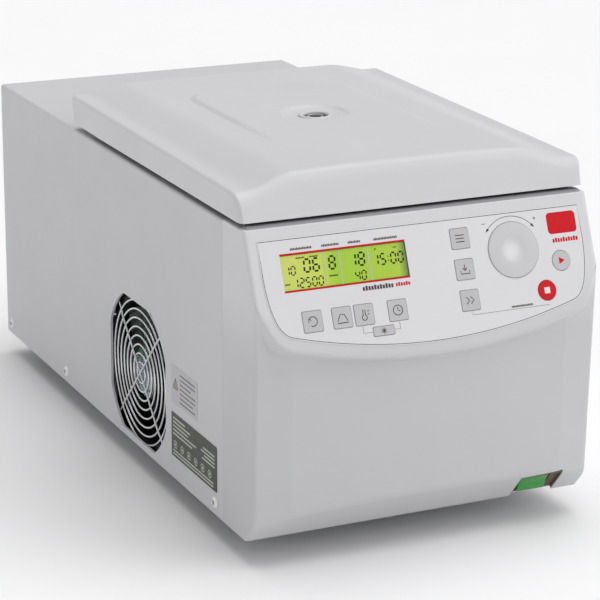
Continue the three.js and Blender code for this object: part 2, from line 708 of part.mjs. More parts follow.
function rotorKnob() {
  const grip = turned([
    [KNOB_BORE, 231.3], [17, 231.3], [17, 234], [13, 236], [13, 246], [11, KNOB_TOP], [0, KNOB_TOP], [0, 237],
    [KNOB_BORE, 236.5]], 0, AXIS_Y, 24);
  const flutes = [];
  for (let i = 0; i < 6; i += 1) {
    const angle = i * Math.PI / 3;
    flutes.push(disc(3, 236.5, 260, 14.5 * Math.cos(angle), AXIS_Y + 14.5 * Math.sin(angle), 10));
  }
  return cut(grip, ...flutes);
}

// ---- Cooling ----
function compressor() {
  const { x, y } = COMPRESSOR;
  const shell = turned([
    [0, 30], [58, 30], [63, 36], [63, 98], [66, 100], [66, 104], [63, 106], [61, 140], [46, 158], [20, 165],
    [0, 165]], x, y, 20);
  const cradle = box(x - 80, x + 80, y - 26, y + 26, FOOT_HEIGHT + SHEET + GAP, 32);
  return join(shell, cradle);
}

function condenser() {
  const gaps = [];
  for (let y = -100; y < 10; y += 10.4) gaps.push(box(-106, -70, y, y + 6, 30, 140));
  return cut(box(-107, -73, -103, 18, 23, 138), ...gaps);
}

function fanFrame() {
  const half = FAN_SIZE / 2;
  const [y0, y1, z0, z1] = [FAN_Y - half, FAN_Y + half, FAN_Z - half, FAN_Z + half];
  const rear = FAN_FACE + FAN_DEPTH;
  const shroud = cut(
    box(FAN_FACE, rear, y0, y1, z0, z1),
    rod(FAN_BORE, FAN_FACE - 5, rear + 5, FAN_Y, FAN_Z, FINE));
  const hub = rod(FAN_HUB, rear - 4, rear, FAN_Y, FAN_Z);
  const struts = [0, 1, 2].map((i) => {
    const strut = box(rear - 4, rear, -2.5, 2.5, 10, 58.5);
    return strut.rotateX((2 * i + 0.5) * Math.PI / 3).translate(0, FAN_Y, FAN_Z);
  });
  return join(shroud, hub, ...struts);
}

function fanImpeller() {
  const hub = rod(FAN_HUB + 0.5, FAN_FACE + 2, FAN_FACE + 20.5, FAN_Y, FAN_Z, 24);
  const blades = [];
  for (let i = 0; i < 7; i += 1) {
    const blade = box(-1, 1, -11, 11, 17, 54.5).rotateZ(0.95).rotateX(i * 2 * Math.PI / 7);
    blades.push(blade.translate(FAN_FACE + 11, FAN_Y, FAN_Z));
  }
  return join(hub, ...blades);
}

function fanGuard() {
  const rings = [];
  for (let i = 0; i < GUARD_RINGS; i += 1) {
    const ring = new THREE.TorusGeometry(GUARD_FIRST + i * GUARD_STEP, GUARD_WIRE, 4, 20);
    rings.push(ring.rotateY(Math.PI / 2).translate(GUARD_X, FAN_Y, FAN_Z));
  }
  const wires = [1, 3].map((i) => {
    const wire = box(-0.85, 0.85, -GUARD_WIRE, GUARD_WIRE, -72, 72).rotateX(i * Math.PI / 4);
    return wire.translate(GUARD_X, FAN_Y, FAN_Z);
  });
  return join(...rings, ...wires);
}

function ratingPlate() {
  return box(-HALF - 0.5, -HALF - 0.15, LID_FRONT + 43, LID_FRONT + 132, 38.5, 74.5);
}

// ---- Assembly ----
const group = new THREE.Group();
const consoleGroup = new THREE.Group();
consoleGroup.applyMatrix4(consolePlace);
const chamferGroup = new THREE.Group();
chamferGroup.applyMatrix4(chamferPlace);
group.add(consoleGroup, chamferGroup);

function piece(name, geometry, look, parent = group) {
  const mesh = new THREE.Mesh(geometry, look);
  mesh.name = name;
  parent.add(mesh);
  return mesh;
}

piece('base_pan', basePan(), steel);
piece('cabinet_shell', cabinetShell(), paint);
piece('rear_panel', rearPanel(), paint);
piece('front_fascia', frontFascia(), plastic);
piece('rating_plate', ratingPlate(), plateGrey);
piece('power_inlet', powerInlet(), black);
piece('power_supply', powerSupply(), aluminium);
for (const [end, y] of Object.entries(FOOT_ROWS)) {
  for (const [side, x] of [['left', -FOOT_X], ['right', FOOT_X]]) {
    piece(`foot_${end}_${side}`, foot(), rubber).position.set(x, y, 0);
  }
}

piece('console_overlay', consoleOverlay(), foil, consoleGroup);
piece('display_window', displayWindow(), clear, consoleGroup);
piece('display_module', displayModule(), black, consoleGroup);
piece('control_board', controlBoard(), board, consoleGroup);
piece('jog_dial', jogDial(), keyGrey, consoleGroup).position.set(DIAL.x, DIAL.y, 0);
for (const [name, x, y] of SQUARE_KEYS) {
  piece(name, keyCap(KEY_SIZE, KEY_SIZE), keyGrey, consoleGroup).position.set(x, y, 0);
}
piece(WIDE_KEY[0], keyCap(...WIDE_KEY_SIZE), keyGrey, consoleGroup).position.set(WIDE_KEY[1], WIDE_KEY[2], 0);
for (const [name, x, y] of ROUND_KEYS) {
  const look = name === 'key_stop' ? red : keyGrey;
  const cap = disc(ROUND_KEY_RADIUS, KEY_FOOT, KEY_TOP, 0, 0, 20);
  piece(name, cap, look, consoleGroup).position.set(x, y, 0);
}

piece('power_switch_frame', switchFrame(), black, chamferGroup);
piece('power_switch_rocker', switchRocker(), green, chamferGroup).position.set(...ROCKER_PIVOT);

piece('lid_shell', lidShell(), plastic);
piece('lid_liner', lidLiner(), plastic);
piece('lid_gasket', lidGasket(), rubber);
piece('sight_port', sightPort(), plastic);
piece('sight_glass', disc(SIGHT_RADIUS, 286.8, 288.9, 0, AXIS_Y, 24), glass);
piece('lid_striker', lidStriker(), steel);
for (const [name, side] of [['left', -1], ['right', 1]]) {
  piece(`hinge_arm_${name}`, hingeArm(side), steel);
  piece(`hinge_pin_${name}`, hingePin(), steel).position.set(side * HINGE_X, 0, 0);
  piece(`hinge_bracket_${name}`, hingeBracket(side), steel);
}
piece('lock_unit', lockUnit(), black);
piece('lock_hook', lockHook(), steel).position.set(HOOK_X, 0, HOOK_Z);

piece('chamber_bowl', chamberBowl(), steel);
piece('chamber_insulation', chamberInsulation(), foam);
piece('evaporator_coil', evaporatorCoil(), copper);
piece('drive_motor', driveMotor(), aluminium);
piece('motor_plate', motorPlate(), steel);
for (let i = 0; i < DAMPERS; i += 1) {
  const angle = (i * 2 + 0.5) * Math.PI / DAMPERS;
  const damper = piece(`motor_damper_${i + 1}`, motorDamper(), rubber);
  damper.position.set(DAMPER_CIRCLE * Math.cos(angle), AXIS_Y + DAMPER_CIRCLE * Math.sin(angle), 0);
}
piece('motor_shaft', motorShaft(), steel);
piece('rotor', rotor(), aluminium);
piece('rotor_lid', rotorLid(), aluminium);
piece('rotor_knob', rotorKnob(), black);

piece('compressor', compressor(), black);
piece('condenser', condenser(), aluminium);
piece('fan_frame', fanFrame(), black);
piece('fan_impeller', fanImpeller(), black);
piece('fan_guard', fanGuard(), steel);

export default group;
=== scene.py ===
"""Looks of the bench-top laboratory centrifuge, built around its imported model.

Lengths are in millimetres until a mesh is made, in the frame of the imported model: +Z up, +Y to
the back. Console coordinates are x across, y up the slope and z out of the console's face.
"""
import json
import math

import bmesh
import bpy
import numpy as np
from mathutils import Matrix, Vector


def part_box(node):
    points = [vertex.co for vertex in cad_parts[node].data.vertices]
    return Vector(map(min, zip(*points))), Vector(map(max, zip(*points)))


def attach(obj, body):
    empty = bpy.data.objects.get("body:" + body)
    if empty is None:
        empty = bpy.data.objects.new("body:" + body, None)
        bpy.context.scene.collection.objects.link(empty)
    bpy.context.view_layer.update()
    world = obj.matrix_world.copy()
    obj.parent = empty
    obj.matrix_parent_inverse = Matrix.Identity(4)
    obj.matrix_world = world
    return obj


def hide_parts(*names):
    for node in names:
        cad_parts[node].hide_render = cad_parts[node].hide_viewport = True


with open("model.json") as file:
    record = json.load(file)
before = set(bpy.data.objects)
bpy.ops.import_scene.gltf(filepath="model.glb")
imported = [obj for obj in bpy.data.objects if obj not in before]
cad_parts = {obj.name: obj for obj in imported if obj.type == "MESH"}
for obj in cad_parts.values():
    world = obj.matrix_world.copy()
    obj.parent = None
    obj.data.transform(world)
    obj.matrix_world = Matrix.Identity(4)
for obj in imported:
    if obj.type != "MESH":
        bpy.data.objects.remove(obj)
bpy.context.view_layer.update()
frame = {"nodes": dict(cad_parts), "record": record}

NODES = frame["nodes"]
MM = 0.001


# ---- Places, and sizes taken from the frame ----
def at(x, y, z):
    return Matrix.Translation((x, y, z))


def turned(angle, axis="Z"):
    return Matrix.Rotation(angle, 4, axis)


def box_mm(node):
    low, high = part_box(node)
    return low / MM, high / MM


def middle(node):
    low, high = box_mm(node)
    return (low + high) / 2


CABINET_LOW, CABINET_HIGH = box_mm("cabinet_shell")
LID_LOW, LID_HIGH = box_mm("lid_shell")
HALF = CABINET_HIGH.x
SEAM = CABINET_LOW.y
REAR = CABINET_HIGH.y
DECK = CABINET_HIGH.z
BASE = CABINET_LOW.z
AXIS = middle("rotor")
FAN = middle("fan_guard")
SHEET = 2.0
WALL = 3.0
GAP = 0.3
AT_AXIS = at(AXIS.x, AXIS.y, 0)

# Turns a form drawn in XY so that its x is the frame's y and its y is up; its height is along +X.
YZ_PLANE = Matrix(((0, 0, 1, 0), (1, 0, 0, 0), (0, 1, 0, 0), (0, 0, 0, 1)))

# Console plane and the outline of the bulge that carries it.
SLOPE = math.radians(22.7)
CONSOLE_Y = -250.8
CONSOLE_Z = DECK + 0.5
OVERLAY_SIDE = box_mm("console_overlay")[1].x
BULGE_CORNER = (113.0, -90.5)
BULGE_SIDE_END = -34.0
BULGE_DIP = -120.0

# Lower front of the fascia.
FACE_CENTRE = -278.5
SHOULDER = (112.0, -274.0)
FACE_SIDE = -268.5
FACE_LEAN = 0.024
LEAN_FROM = 35.0
CHAMFER_Y = -256.5
CHAMFER_ANGLE = math.atan2(20.5, 24)

CONSOLE = at(0, CONSOLE_Y, CONSOLE_Z) @ turned(math.pi / 2 - SLOPE, "X")
CHAMFER = at(0, CHAMFER_Y, BASE) @ turned(math.pi / 2 + CHAMFER_ANGLE, "X")


def console_place(node):
    """Centre of a console node in console coordinates."""
    centre = CONSOLE.inverted() @ middle(node)
    return centre.x, centre.y


# ---- Camera ----
CAMERA_AIM = Vector((-33.9, -45.4, 130.1))
CAMERA_AZIMUTH = -24.21
CAMERA_ELEVATION = 17.31
CAMERA_ROLL = 0.17
CAMERA_DISTANCE = 1908.9
CAMERA_LENS = 141.4
CAMERA_SHIFT = (0.0661, 0.0015)


def make_camera():
    data = bpy.data.cameras.new("camera")
    data.sensor_width = 36
    data.lens = CAMERA_LENS
    data.shift_x, data.shift_y = CAMERA_SHIFT
    azimuth, elevation = math.radians(CAMERA_AZIMUTH), math.radians(CAMERA_ELEVATION)
    back = Vector((
        math.sin(azimuth) * math.cos(elevation),
        -math.cos(azimuth) * math.cos(elevation),
        math.sin(elevation)))
    turn = (-back).to_track_quat("-Z", "Y").to_matrix().to_4x4()
    roll = turned(math.radians(CAMERA_ROLL))
    camera = bpy.data.objects.new("camera", data)
    bpy.context.scene.collection.objects.link(camera)
    camera.matrix_world = Matrix.Translation((CAMERA_AIM + back * CAMERA_DISTANCE) * MM) @ turn @ roll
    bpy.context.scene.camera = camera


# ---- Materials ----
def linear(colour):
    """Linear colour of an sRGB colour given as 0 to 255."""
    values = [c / 255 for c in colour]
    values = [v / 12.92 if v <= 0.04045 else ((v + 0.055) / 1.055) ** 2.4 for v in values]
    return (*values, 1.0)


def shader_parts(material):
    """Node tree, shader and object coordinates of a material."""
    tree = material.node_tree
    return tree, tree.nodes["Principled BSDF"], tree.nodes.new("ShaderNodeTexCoord").outputs["Object"]


def noise(tree, coordinates, scale, detail=3.0, stretch=None):
    node = tree.nodes.new("ShaderNodeTexNoise")
    node.inputs["Scale"].default_value = scale
    node.inputs["Detail"].default_value = detail
    if stretch:
        mapping = tree.nodes.new("ShaderNodeMapping")
        mapping.inputs["Scale"].default_value = stretch
        tree.links.new(coordinates, mapping.inputs["Vector"])
        coordinates = mapping.outputs["Vector"]
    tree.links.new(coordinates, node.inputs["Vector"])
    return node.outputs["Fac"]


def map_range(tree, value, low, high, source=(0.3, 0.7)):
    node = tree.nodes.new("ShaderNodeMapRange")
    node.inputs["From Min"].default_value, node.inputs["From Max"].default_value = source
    node.inputs["To Min"].default_value = low
    node.inputs["To Max"].default_value = high
    tree.links.new(value, node.inputs["Value"])
    return node.outputs["Result"]


def ramp_along(tree, place, axis, start, end):
    """0 to 1 along an axis of the object, between two places in metres."""
    axes = tree.nodes.new("ShaderNodeSeparateXYZ")
    tree.links.new(place, axes.inputs["Vector"])
    return map_range(tree, axes.outputs[axis], 0.0, 1.0, (start, end))


def blend_colours(tree, factor, one, other):
    node = tree.nodes.new("ShaderNodeMix")
    node.data_type = "RGBA"
    tree.links.new(factor, node.inputs["Factor"])
    for socket, colour in ((node.inputs[6], one), (node.inputs[7], other)):
        if isinstance(colour, bpy.types.NodeSocket):
            tree.links.new(colour, socket)
        else:
            socket.default_value = colour
    return node.outputs[2]


def finish(name, colour, roughness, metallic=0.0, vary=0.04, patch=14.0, rough_vary=0.05,
           grain=900.0, bump=0.06, depth=0.1, stretch=None, wear_and_highlight=0.0, sockets=None):
    """Procedural material: mottled colour, uneven roughness, fine bump and paler sharp edges, partly rubbed
    wear and partly painted highlight.

    vary is the share by which the colour changes over patches, grain the scale of the bump,
    depth its height in millimetres, wear_and_highlight how far sharp edges go to a paler colour, partly as
    rubbed wear and partly as painted highlight."""
    material = bpy.data.materials.new(name)
    material.use_nodes = True
    tree, shader, place = shader_parts(material)
    base = linear(colour)
    dark = tuple(c * (1 - vary) for c in base[:3]) + (1.0,)
    pale = tuple(min(1.0, c * (1 + vary)) for c in base[:3]) + (1.0,)
    patches = map_range(tree, noise(tree, place, patch, 4.0, stretch), 0.0, 1.0)
    mottled = blend_colours(tree, patches, dark, pale)
    # Sharp edges go paler: partly rubbed wear, partly painted highlight.
    if wear_and_highlight:
        edge = tree.nodes.new("ShaderNodeNewGeometry").outputs["Pointiness"]
        rubbed_and_highlit = map_range(tree, edge, 0.0, wear_and_highlight, (0.52, 0.62))
        worn_and_highlit = tuple(min(1.0, c * 1.35 + 0.03) for c in base[:3]) + (1.0,)
        mottled = blend_colours(tree, rubbed_and_highlit, mottled, worn_and_highlit)
    tree.links.new(mottled, shader.inputs["Base Color"])
    uneven = noise(tree, place, patch * 3, 3.0, stretch)
    tree.links.new(
        map_range(tree, uneven, max(0.02, roughness - rough_vary), min(1.0, roughness + rough_vary)),
        shader.inputs["Roughness"])
    relief = tree.nodes.new("ShaderNodeBump")
    relief.inputs["Strength"].default_value = bump
    relief.inputs["Distance"].default_value = depth * MM
    tree.links.new(noise(tree, place, grain, 2.0, stretch), relief.inputs["Height"])
    tree.links.new(relief.outputs["Normal"], shader.inputs["Normal"])
    shader.inputs["Metallic"].default_value = metallic
    for socket, value in (sockets or {}).items():
        shader.inputs[socket].default_value = value
    return material


# Colours across the display from left to right; the darker last stop is painted shade at the display's right
# end.
DISPLAY_COLOURS_AND_SHADE = ((0.0, (192, 200, 98)), (0.3, (186, 202, 74)), (0.42, (150, 190, 36)),
                 (0.93, (160, 190, 46)), (1.0, (84, 112, 36)))


def ink_finish(name, colour, vary=0.1, sockets=None):
    return finish(name, colour, 0.5, vary=vary, patch=300, bump=0.05, sockets=sockets)


def display_finish():
    """Backlit display: yellow-green on the left going to green on the right, with a painted shade at its
    right end.
    """
    material = finish("lcd_backlight", (178, 208, 62), 0.25, vary=0.05, patch=40, bump=0.02)
    tree, shader, place = shader_parts(material)
    low, high = box_mm("display_window")
    across = ramp_along(tree, place, "X", low.x * MM, high.x * MM)
    ramp = tree.nodes.new("ShaderNodeValToRGB")
    tree.links.new(across, ramp.inputs["Fac"])
    for index, (position, colour) in enumerate(DISPLAY_COLOURS_AND_SHADE):
        stop = ramp.color_ramp.elements[index] if index < 2 else ramp.color_ramp.elements.new(position)
        stop.position = position
        stop.color = linear(colour)
    tree.links.new(ramp.outputs["Color"], shader.inputs["Base Color"])
    tree.links.new(ramp.outputs["Color"], shader.inputs["Emission Color"])
    shader.inputs["Emission Strength"].default_value = 0.12
    return material


DIAL_FADE = (0.003, 0.0105)


def dial_finish():
    """Dial face: pale centre in a slightly darker disc."""
    material = finish("dial_plastic", (205, 205, 208), 0.4, vary=0.02, grain=1500, bump=0.04)
    tree, shader, place = shader_parts(material)
    reach = tree.nodes.new("ShaderNodeVectorMath")
    reach.operation = "DISTANCE"
    reach.inputs[1].default_value = middle("jog_dial") * MM
    tree.links.new(place, reach.inputs[0])
    rim = map_range(tree, reach.outputs["Value"], 0.0, 1.0, DIAL_FADE)
    face = blend_colours(tree, rim, linear((222, 222, 224)), linear((199, 199, 202)))
    tree.links.new(face, shader.inputs["Base Color"])
    return material


# Heights in metres over which the front turns paler: painted light on the console.
PAINTED_LIGHT_FADE = (0.155, 0.2)


def front_finish_with_painted_light():
    """Moulded front: paler over the console than on the lower front; the paler console is painted light for
    its upward-facing slope.
    """
    material = finish("moulded_front_painted_light", (197, 197, 199), 0.45, vary=0.012, patch=8, grain=1700, bump=0.2,
                      depth=0.04)
    tree, shader, place = shader_parts(material)
    # Paler above this height: painted light on the console.
    height = ramp_along(tree, place, "Z", *PAINTED_LIGHT_FADE)
    patches = map_range(tree, noise(tree, place, 8.0, 4.0), 0.0, 1.0)
    dark = blend_colours(tree, patches, linear((195, 195, 197)), linear((199, 199, 201)))
    pale = blend_colours(tree, patches, linear((209, 209, 211)), linear((213, 213, 215)))
    tree.links.new(blend_colours(tree, height, dark, pale), shader.inputs["Base Color"])
    return material


def hub_finish():
    """Foil label on the fan's hub, silver below and green above."""
    material = finish("hub_label", (176, 184, 190), 0.3, 0.3, vary=0.08, patch=80, bump=0.05)
    tree, shader, place = shader_parts(material)
    height = ramp_along(tree, place, "Z", (FAN.z + 1) * MM, (FAN.z + 11) * MM)
    silver = map_range(tree, noise(tree, place, 62.0, 5.0), 0.0, 1.0)
    lower = blend_colours(tree, silver, linear((150, 164, 178)), linear((204, 212, 220)))
    tree.links.new(blend_colours(tree, height, lower, linear((20, 96, 58))), shader.inputs["Base Color"])
    return material


COAT = {"Coat Weight": 0.15, "Coat Roughness": 0.3}
PAINT = finish("powder_coat", (202, 202, 205), 0.5, vary=0.015, patch=9, grain=1100, bump=0.25, depth=0.05)
MOULDED = finish("moulded_shell", (208, 208, 210), 0.42, vary=0.012, patch=8, grain=1700, bump=0.2,
                 depth=0.04, wear_and_highlight=0.12)
FRONT_MOULDED_WITH_PAINTED_LIGHT = front_finish_with_painted_light()
FOIL = finish("console_foil", (217, 217, 219), 0.34, vary=0.01, patch=12, grain=2600, bump=0.16, depth=0.02,
              sockets=COAT)
KEY_GREY = finish("key_plastic", (189, 189, 192), 0.4, vary=0.02, patch=40, grain=2400, bump=0.15, depth=0.03)
DULL = {"Specular IOR Level": 0.2}
INK = ink_finish("printed_ink", (54, 48, 50), sockets=DULL)
WORD_INK = ink_finish("word_ink", (84, 66, 62), sockets=DULL)
FINE_INK = ink_finish("fine_ink", (112, 106, 106))
WHITE_INK = ink_finish("white_ink", (226, 226, 224), 0.03)
RED = finish("stop_red", (208, 4, 26), 0.4, vary=0.05, patch=60, grain=1800, bump=0.12, depth=0.03,
             sockets=DULL)
RED_INK = ink_finish("red_ink", (206, 8, 26), 0.06, DULL)
GREEN = finish("switch_green", (44, 146, 52), 0.25, vary=0.06, patch=50, grain=1500, bump=0.1, depth=0.03,
               sockets={"Coat Weight": 0.3, "Coat Roughness": 0.15, "Subsurface Weight": 0.1,
                        "Subsurface Scale": 0.002})
LCD = display_finish()
LCD_DARK = finish("lcd_segments", (22, 30, 6), 0.4, vary=0.1, patch=200, bump=0.03, sockets=DULL)
BLACK = finish("black_plastic", (24, 24, 26), 0.42, vary=0.15, patch=30, grain=1300, bump=0.25, depth=0.05,
               wear_and_highlight=0.3)
RUBBER = finish("rubber", (30, 30, 32), 0.8, vary=0.15, patch=40, grain=1600, bump=0.4, depth=0.08)
ZINC = finish("zinc_steel", (186, 188, 190), 0.34, 1.0, vary=0.1, patch=45, rough_vary=0.12, grain=700,
              bump=0.15, wear_and_highlight=0.2)
WIRE = finish("chromed_wire", (214, 214, 216), 0.2, 1.0, vary=0.05, patch=60, rough_vary=0.08, bump=0.05)
STAINLESS = finish("stainless", (196, 197, 199), 0.27, 1.0, vary=0.05, patch=5, rough_vary=0.09, grain=120,
                   bump=0.12, depth=0.06, stretch=(1, 1, 24))
MACHINED = finish("machined_aluminium", (176, 179, 184), 0.3, 1.0, vary=0.07, patch=6, rough_vary=0.09,
                  grain=160, bump=0.15, depth=0.06, stretch=(1, 1, 30), wear_and_highlight=0.3)
ANODISED = finish("anodised_black", (44, 45, 48), 0.36, 0.7, vary=0.1, patch=10, grain=200, bump=0.12,
                  stretch=(1, 1, 20), wear_and_highlight=0.5)
COPPER = finish("copper", (190, 120, 84), 0.3, 1.0, vary=0.16, patch=60, rough_vary=0.12, bump=0.1, wear_and_highlight=0.2)
BOARD = finish("board_green", (30, 92, 54), 0.42, vary=0.14, patch=220, grain=600, bump=0.4, depth=0.1,
               sockets=COAT)
FOAM = finish("insulation_foam", (216, 208, 178), 0.95, vary=0.08, patch=80, grain=420, bump=1.0, depth=0.6)
ENAMEL = finish("compressor_enamel", (22, 22, 24), 0.3, vary=0.12, patch=25, grain=500, bump=0.2, wear_and_highlight=0.3,
                sockets=COAT)
PLATE = finish("plate_grey", (68, 72, 63), 0.5, vary=0.05, patch=60, grain=1500, bump=0.12, depth=0.03)
LABEL = finish("pale_label", (188, 188, 191), 0.4, vary=0.02, patch=60, grain=1500, bump=0.08, depth=0.02)
HUB_LABEL = hub_finish()
FAN_BLACK = finish("fan_black", (9, 9, 10), 0.5, vary=0.15, patch=30, grain=1300, bump=0.2, depth=0.05,
                   sockets=DULL)
# Grey of the ledge in front of the lid: painted shade, the lid's shadow on the fascia's top.
LEDGE_SHADE_GREY = finish("ledge_painted_shade", (146, 146, 152), 0.5, vary=0.03, patch=20, grain=1500, bump=0.15, depth=0.04)
FAN_BLADE = finish("fan_blade", (20, 42, 33), 0.26, vary=0.2, patch=40, grain=1300, bump=0.15, depth=0.04)
# Dark brown of the switch frame: partly its own colour, partly painted shade inside the opening.
SWITCH_FRAME_AND_SHADE = finish("switch_frame_and_shade", (100, 88, 76), 0.5, vary=0.1, patch=40, grain=1300, bump=0.2,
                      depth=0.04, sockets=DULL)
PLATE_INK = ink_finish("plate_ink", (200, 204, 194), 0.05)
GLASS = finish("sight_glass", (7, 8, 9), 0.12, vary=0.1, patch=30, rough_vary=0.04, bump=0.02,
               sockets={"IOR": 1.18})
SCREW_WHITE = finish("painted_screw", (240, 240, 238), 0.28, vary=0.03, patch=60, bump=0.1)
TAN = finish("tan_ink", (158, 148, 128), 0.5, vary=0.05, patch=200, bump=0.05)
DIAL_FACE = dial_finish()
FLOOR = finish("pale_floor", (248, 248, 249), 0.7, vary=0.006, patch=2, grain=60, bump=0.02)

SLOT_FINISH = {
    "cabinet_paint": PAINT, "moulded_plastic": MOULDED, "console_foil": FOIL, "key_plastic": KEY_GREY,
    "stop_red": RED, "switch_green": GREEN, "display": LCD, "black_plastic": BLACK, "board_green": BOARD,
    "rubber": RUBBER, "zinc_steel": ZINC, "stainless": STAINLESS, "copper": COPPER,
    "insulation_foam": FOAM, "machined_aluminium": MACHINED, "compressor_black": ENAMEL,
    "plate_grey": PLATE, "sight_glass": GLASS,
}


def dress_frame():
    """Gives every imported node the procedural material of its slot."""
    for part in frame["record"]["subparts"]:
        data = NODES[part["node"]].data
        data.materials.clear()
        data.materials.append(SLOT_FINISH[part["material_slot"]])


# ---- Mesh building ----
class Solid:
    """Vertices and faces gathered from several closed forms, each with a material index."""

    def __init__(self):
        self.points = []
        self.faces = []
        self.looks = []

    def add(self, points, faces, look=0, place=None):
        start = len(self.points)
        moved = [Vector(p) for p in points]
        if place is not None:
            moved = [place @ p for p in moved]
        self.points.extend(moved)
        self.faces.extend([tuple(start + i for i in face) for face in faces])
        self.looks.extend([look] * len(faces))
        return self

    def mesh(self, name):
        data = bpy.data.meshes.new(name)
        data.from_pydata([tuple(p * MM) for p in self.points], [], self.faces)
        data.polygons.foreach_set("material_index", self.looks)
        tidy = bmesh.new()
        tidy.from_mesh(data)
        bmesh.ops.recalc_face_normals(tidy, faces=tidy.faces)
        tidy.to_mesh(data)
        tidy.free()
        return data


def link(name, data):
    thing = bpy.data.objects.new(name, data)
    bpy.context.scene.collection.objects.link(thing)
    return thing


def bake_modifiers(thing):
    graph = bpy.context.evaluated_depsgraph_get()
    graph.update()
    data = bpy.data.meshes.new_from_object(thing.evaluated_get(graph))
    thing.modifiers.clear()
    thing.data = data


def carve(thing, *cutters):
    """Cuts the solids out of the object for good."""
    for cutter in cutters:
        tool = link("cutter", cutter.mesh("cutter"))
        modifier = thing.modifiers.new("cut", "BOOLEAN")
        modifier.operation = "DIFFERENCE"
        modifier.solver = "EXACT"
        modifier.object = tool
        bake_modifiers(thing)
        bpy.data.objects.remove(tool)


def piece(name, solid, body, looks, replaces=(), cutters=(), thickness=0.0, crease=32.0, bevel=0.0):
    """Makes a solid into a piece that rides on a body of the frame."""
    thing = link(name, solid.mesh(name) if isinstance(solid, Solid) else solid)
    for look in looks:
        thing.data.materials.append(look)
    if thickness:
        shell = thing.modifiers.new("wall", "SOLIDIFY")
        shell.thickness = thickness * MM
        shell.offset = -1
        shell.use_even_offset = True
        bake_modifiers(thing)
    carve(thing, *cutters)
    if bevel:
        soften = thing.modifiers.new("edge", "BEVEL")
        soften.width = bevel * MM
        soften.segments = 2
        soften.limit_method = "ANGLE"
        soften.angle_limit = math.radians(40)
        bake_modifiers(thing)
    data = thing.data
    data.polygons.foreach_set("use_smooth", [True] * len(data.polygons))
    data.set_sharp_from_angle(angle=math.radians(crease))
    weighted = thing.modifiers.new("normals", "WEIGHTED_NORMAL")
    weighted.keep_sharp = True
    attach(thing, body)
    if replaces:
        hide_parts(*replaces)
    return thing


def rounded(corners, radius, steps=6):
    """Closed outline through the corners, each turned into an arc; radius is one or a list."""
    count = len(corners)
    radii = radius if isinstance(radius, (list, tuple)) else [radius] * count
    points = []
    for i, corner in enumerate(corners):
        here = Vector(corner[:2])
        before = Vector(corners[i - 1][:2]) - here
        after = Vector(corners[(i + 1) % count][:2]) - here
        if radii[i] <= 0:
            points.append(tuple(here))
            continue
        angle = before.angle(after)
        reach = min(radii[i] / math.tan(angle / 2), before.length * 0.499, after.length * 0.499)
        arc_radius = reach * math.tan(angle / 2)
        start = here + before.normalized() * reach
        end = here + after.normalized() * reach
        halfway = (before.normalized() + after.normalized()).normalized()
        centre = here + halfway * (arc_radius / math.sin(angle / 2))
        first = math.atan2(start.y - centre.y, start.x - centre.x)
        sweep = math.atan2(end.y - centre.y, end.x - centre.x) - first
        sweep = (sweep + math.pi) % (2 * math.pi) - math.pi
        for k in range(steps + 1):
            turn = first + sweep * k / steps
            points.append((centre.x + arc_radius * math.cos(turn), centre.y + arc_radius * math.sin(turn)))
    return points


def rectangle(x0, x1, y0, y1, radius=0.0, steps=5):
    corners = [(x0, y0), (x1, y0), (x1, y1), (x0, y1)]
    return rounded(corners, radius, steps) if radius else corners


def circle(radius, count=48, x=0.0, y=0.0):
    angles = [2 * math.pi * k / count for k in range(count)]
    return [(x + radius * math.cos(a), y + radius * math.sin(a)) for a in angles]


def inset(outline, amount):
    """The outline moved inward by amount, corner by corner."""
    if not amount:
        return list(outline)
    points = [Vector(p) for p in outline]
    area = sum(a.x * b.y - b.x * a.y for a, b in zip(points, points[1:] + points[:1]))
    side = 1 if area > 0 else -1
    moved = []
    for i, here in enumerate(points):
        one = (here - points[i - 1]).normalized()
        two = (points[(i + 1) % len(points)] - here).normalized()
        normal_one, normal_two = Vector((-one.y, one.x)), Vector((-two.y, two.x))
        mitre = (normal_one + normal_two) / max(0.2, 1 + normal_one.dot(normal_two))
        moved.append(tuple(here + mitre * amount * side))
    return moved


def ring_faces(rings, count, closed=False):
    """Quads between rings of count points each; closed joins the last ring to the first."""
    pairs = [(r, (r + 1) % rings) for r in range(rings if closed else rings - 1)]
    return [(r * count + k, r * count + (k + 1) % count, n * count + (k + 1) % count, n * count + k)
            for r, n in pairs for k in range(count)]


def end_caps(rings, count):
    return [tuple(reversed(range(count))), tuple((rings - 1) * count + k for k in range(count))]


def stack(outline, levels, look=0, place=None, into=None):
    """Closed solid from copies of one outline, each moved in by an amount at a height."""
    points = [(x, y, z) for amount, z in levels for x, y in inset(outline, amount)]
    shape = len(levels), len(outline)
    return (into or Solid()).add(points, ring_faces(*shape) + end_caps(*shape), look, place)


def edge_levels(z0, z1, low=0.0, high=0.0, steps=3):
    """Levels of a slab whose lower and upper edges are rounded."""
    levels = []
    for k in range(steps + 1 if low else 1):
        turn = math.pi / 2 * k / steps
        levels.append((low * (1 - math.sin(turn)), z0 + low * (1 - math.cos(turn))))
    for k in range(steps + 1 if high else 1):
        turn = math.pi / 2 * (1 - k / steps)
        levels.append((high * (1 - math.sin(turn)), z1 - high * (1 - math.cos(turn))))
    return levels


def slab(outline, z0, z1, low=0.0, high=0.0, look=0, place=None, into=None):
    return stack(outline, edge_levels(z0, z1, low, high), look, place, into)


def block(x0, x1, y0, y1, z0, z1, radius=1.0, edge=0.4, look=0, place=None, into=None):
    return slab(rectangle(x0, x1, y0, y1, radius), z0, z1, edge, edge, look, place, into)


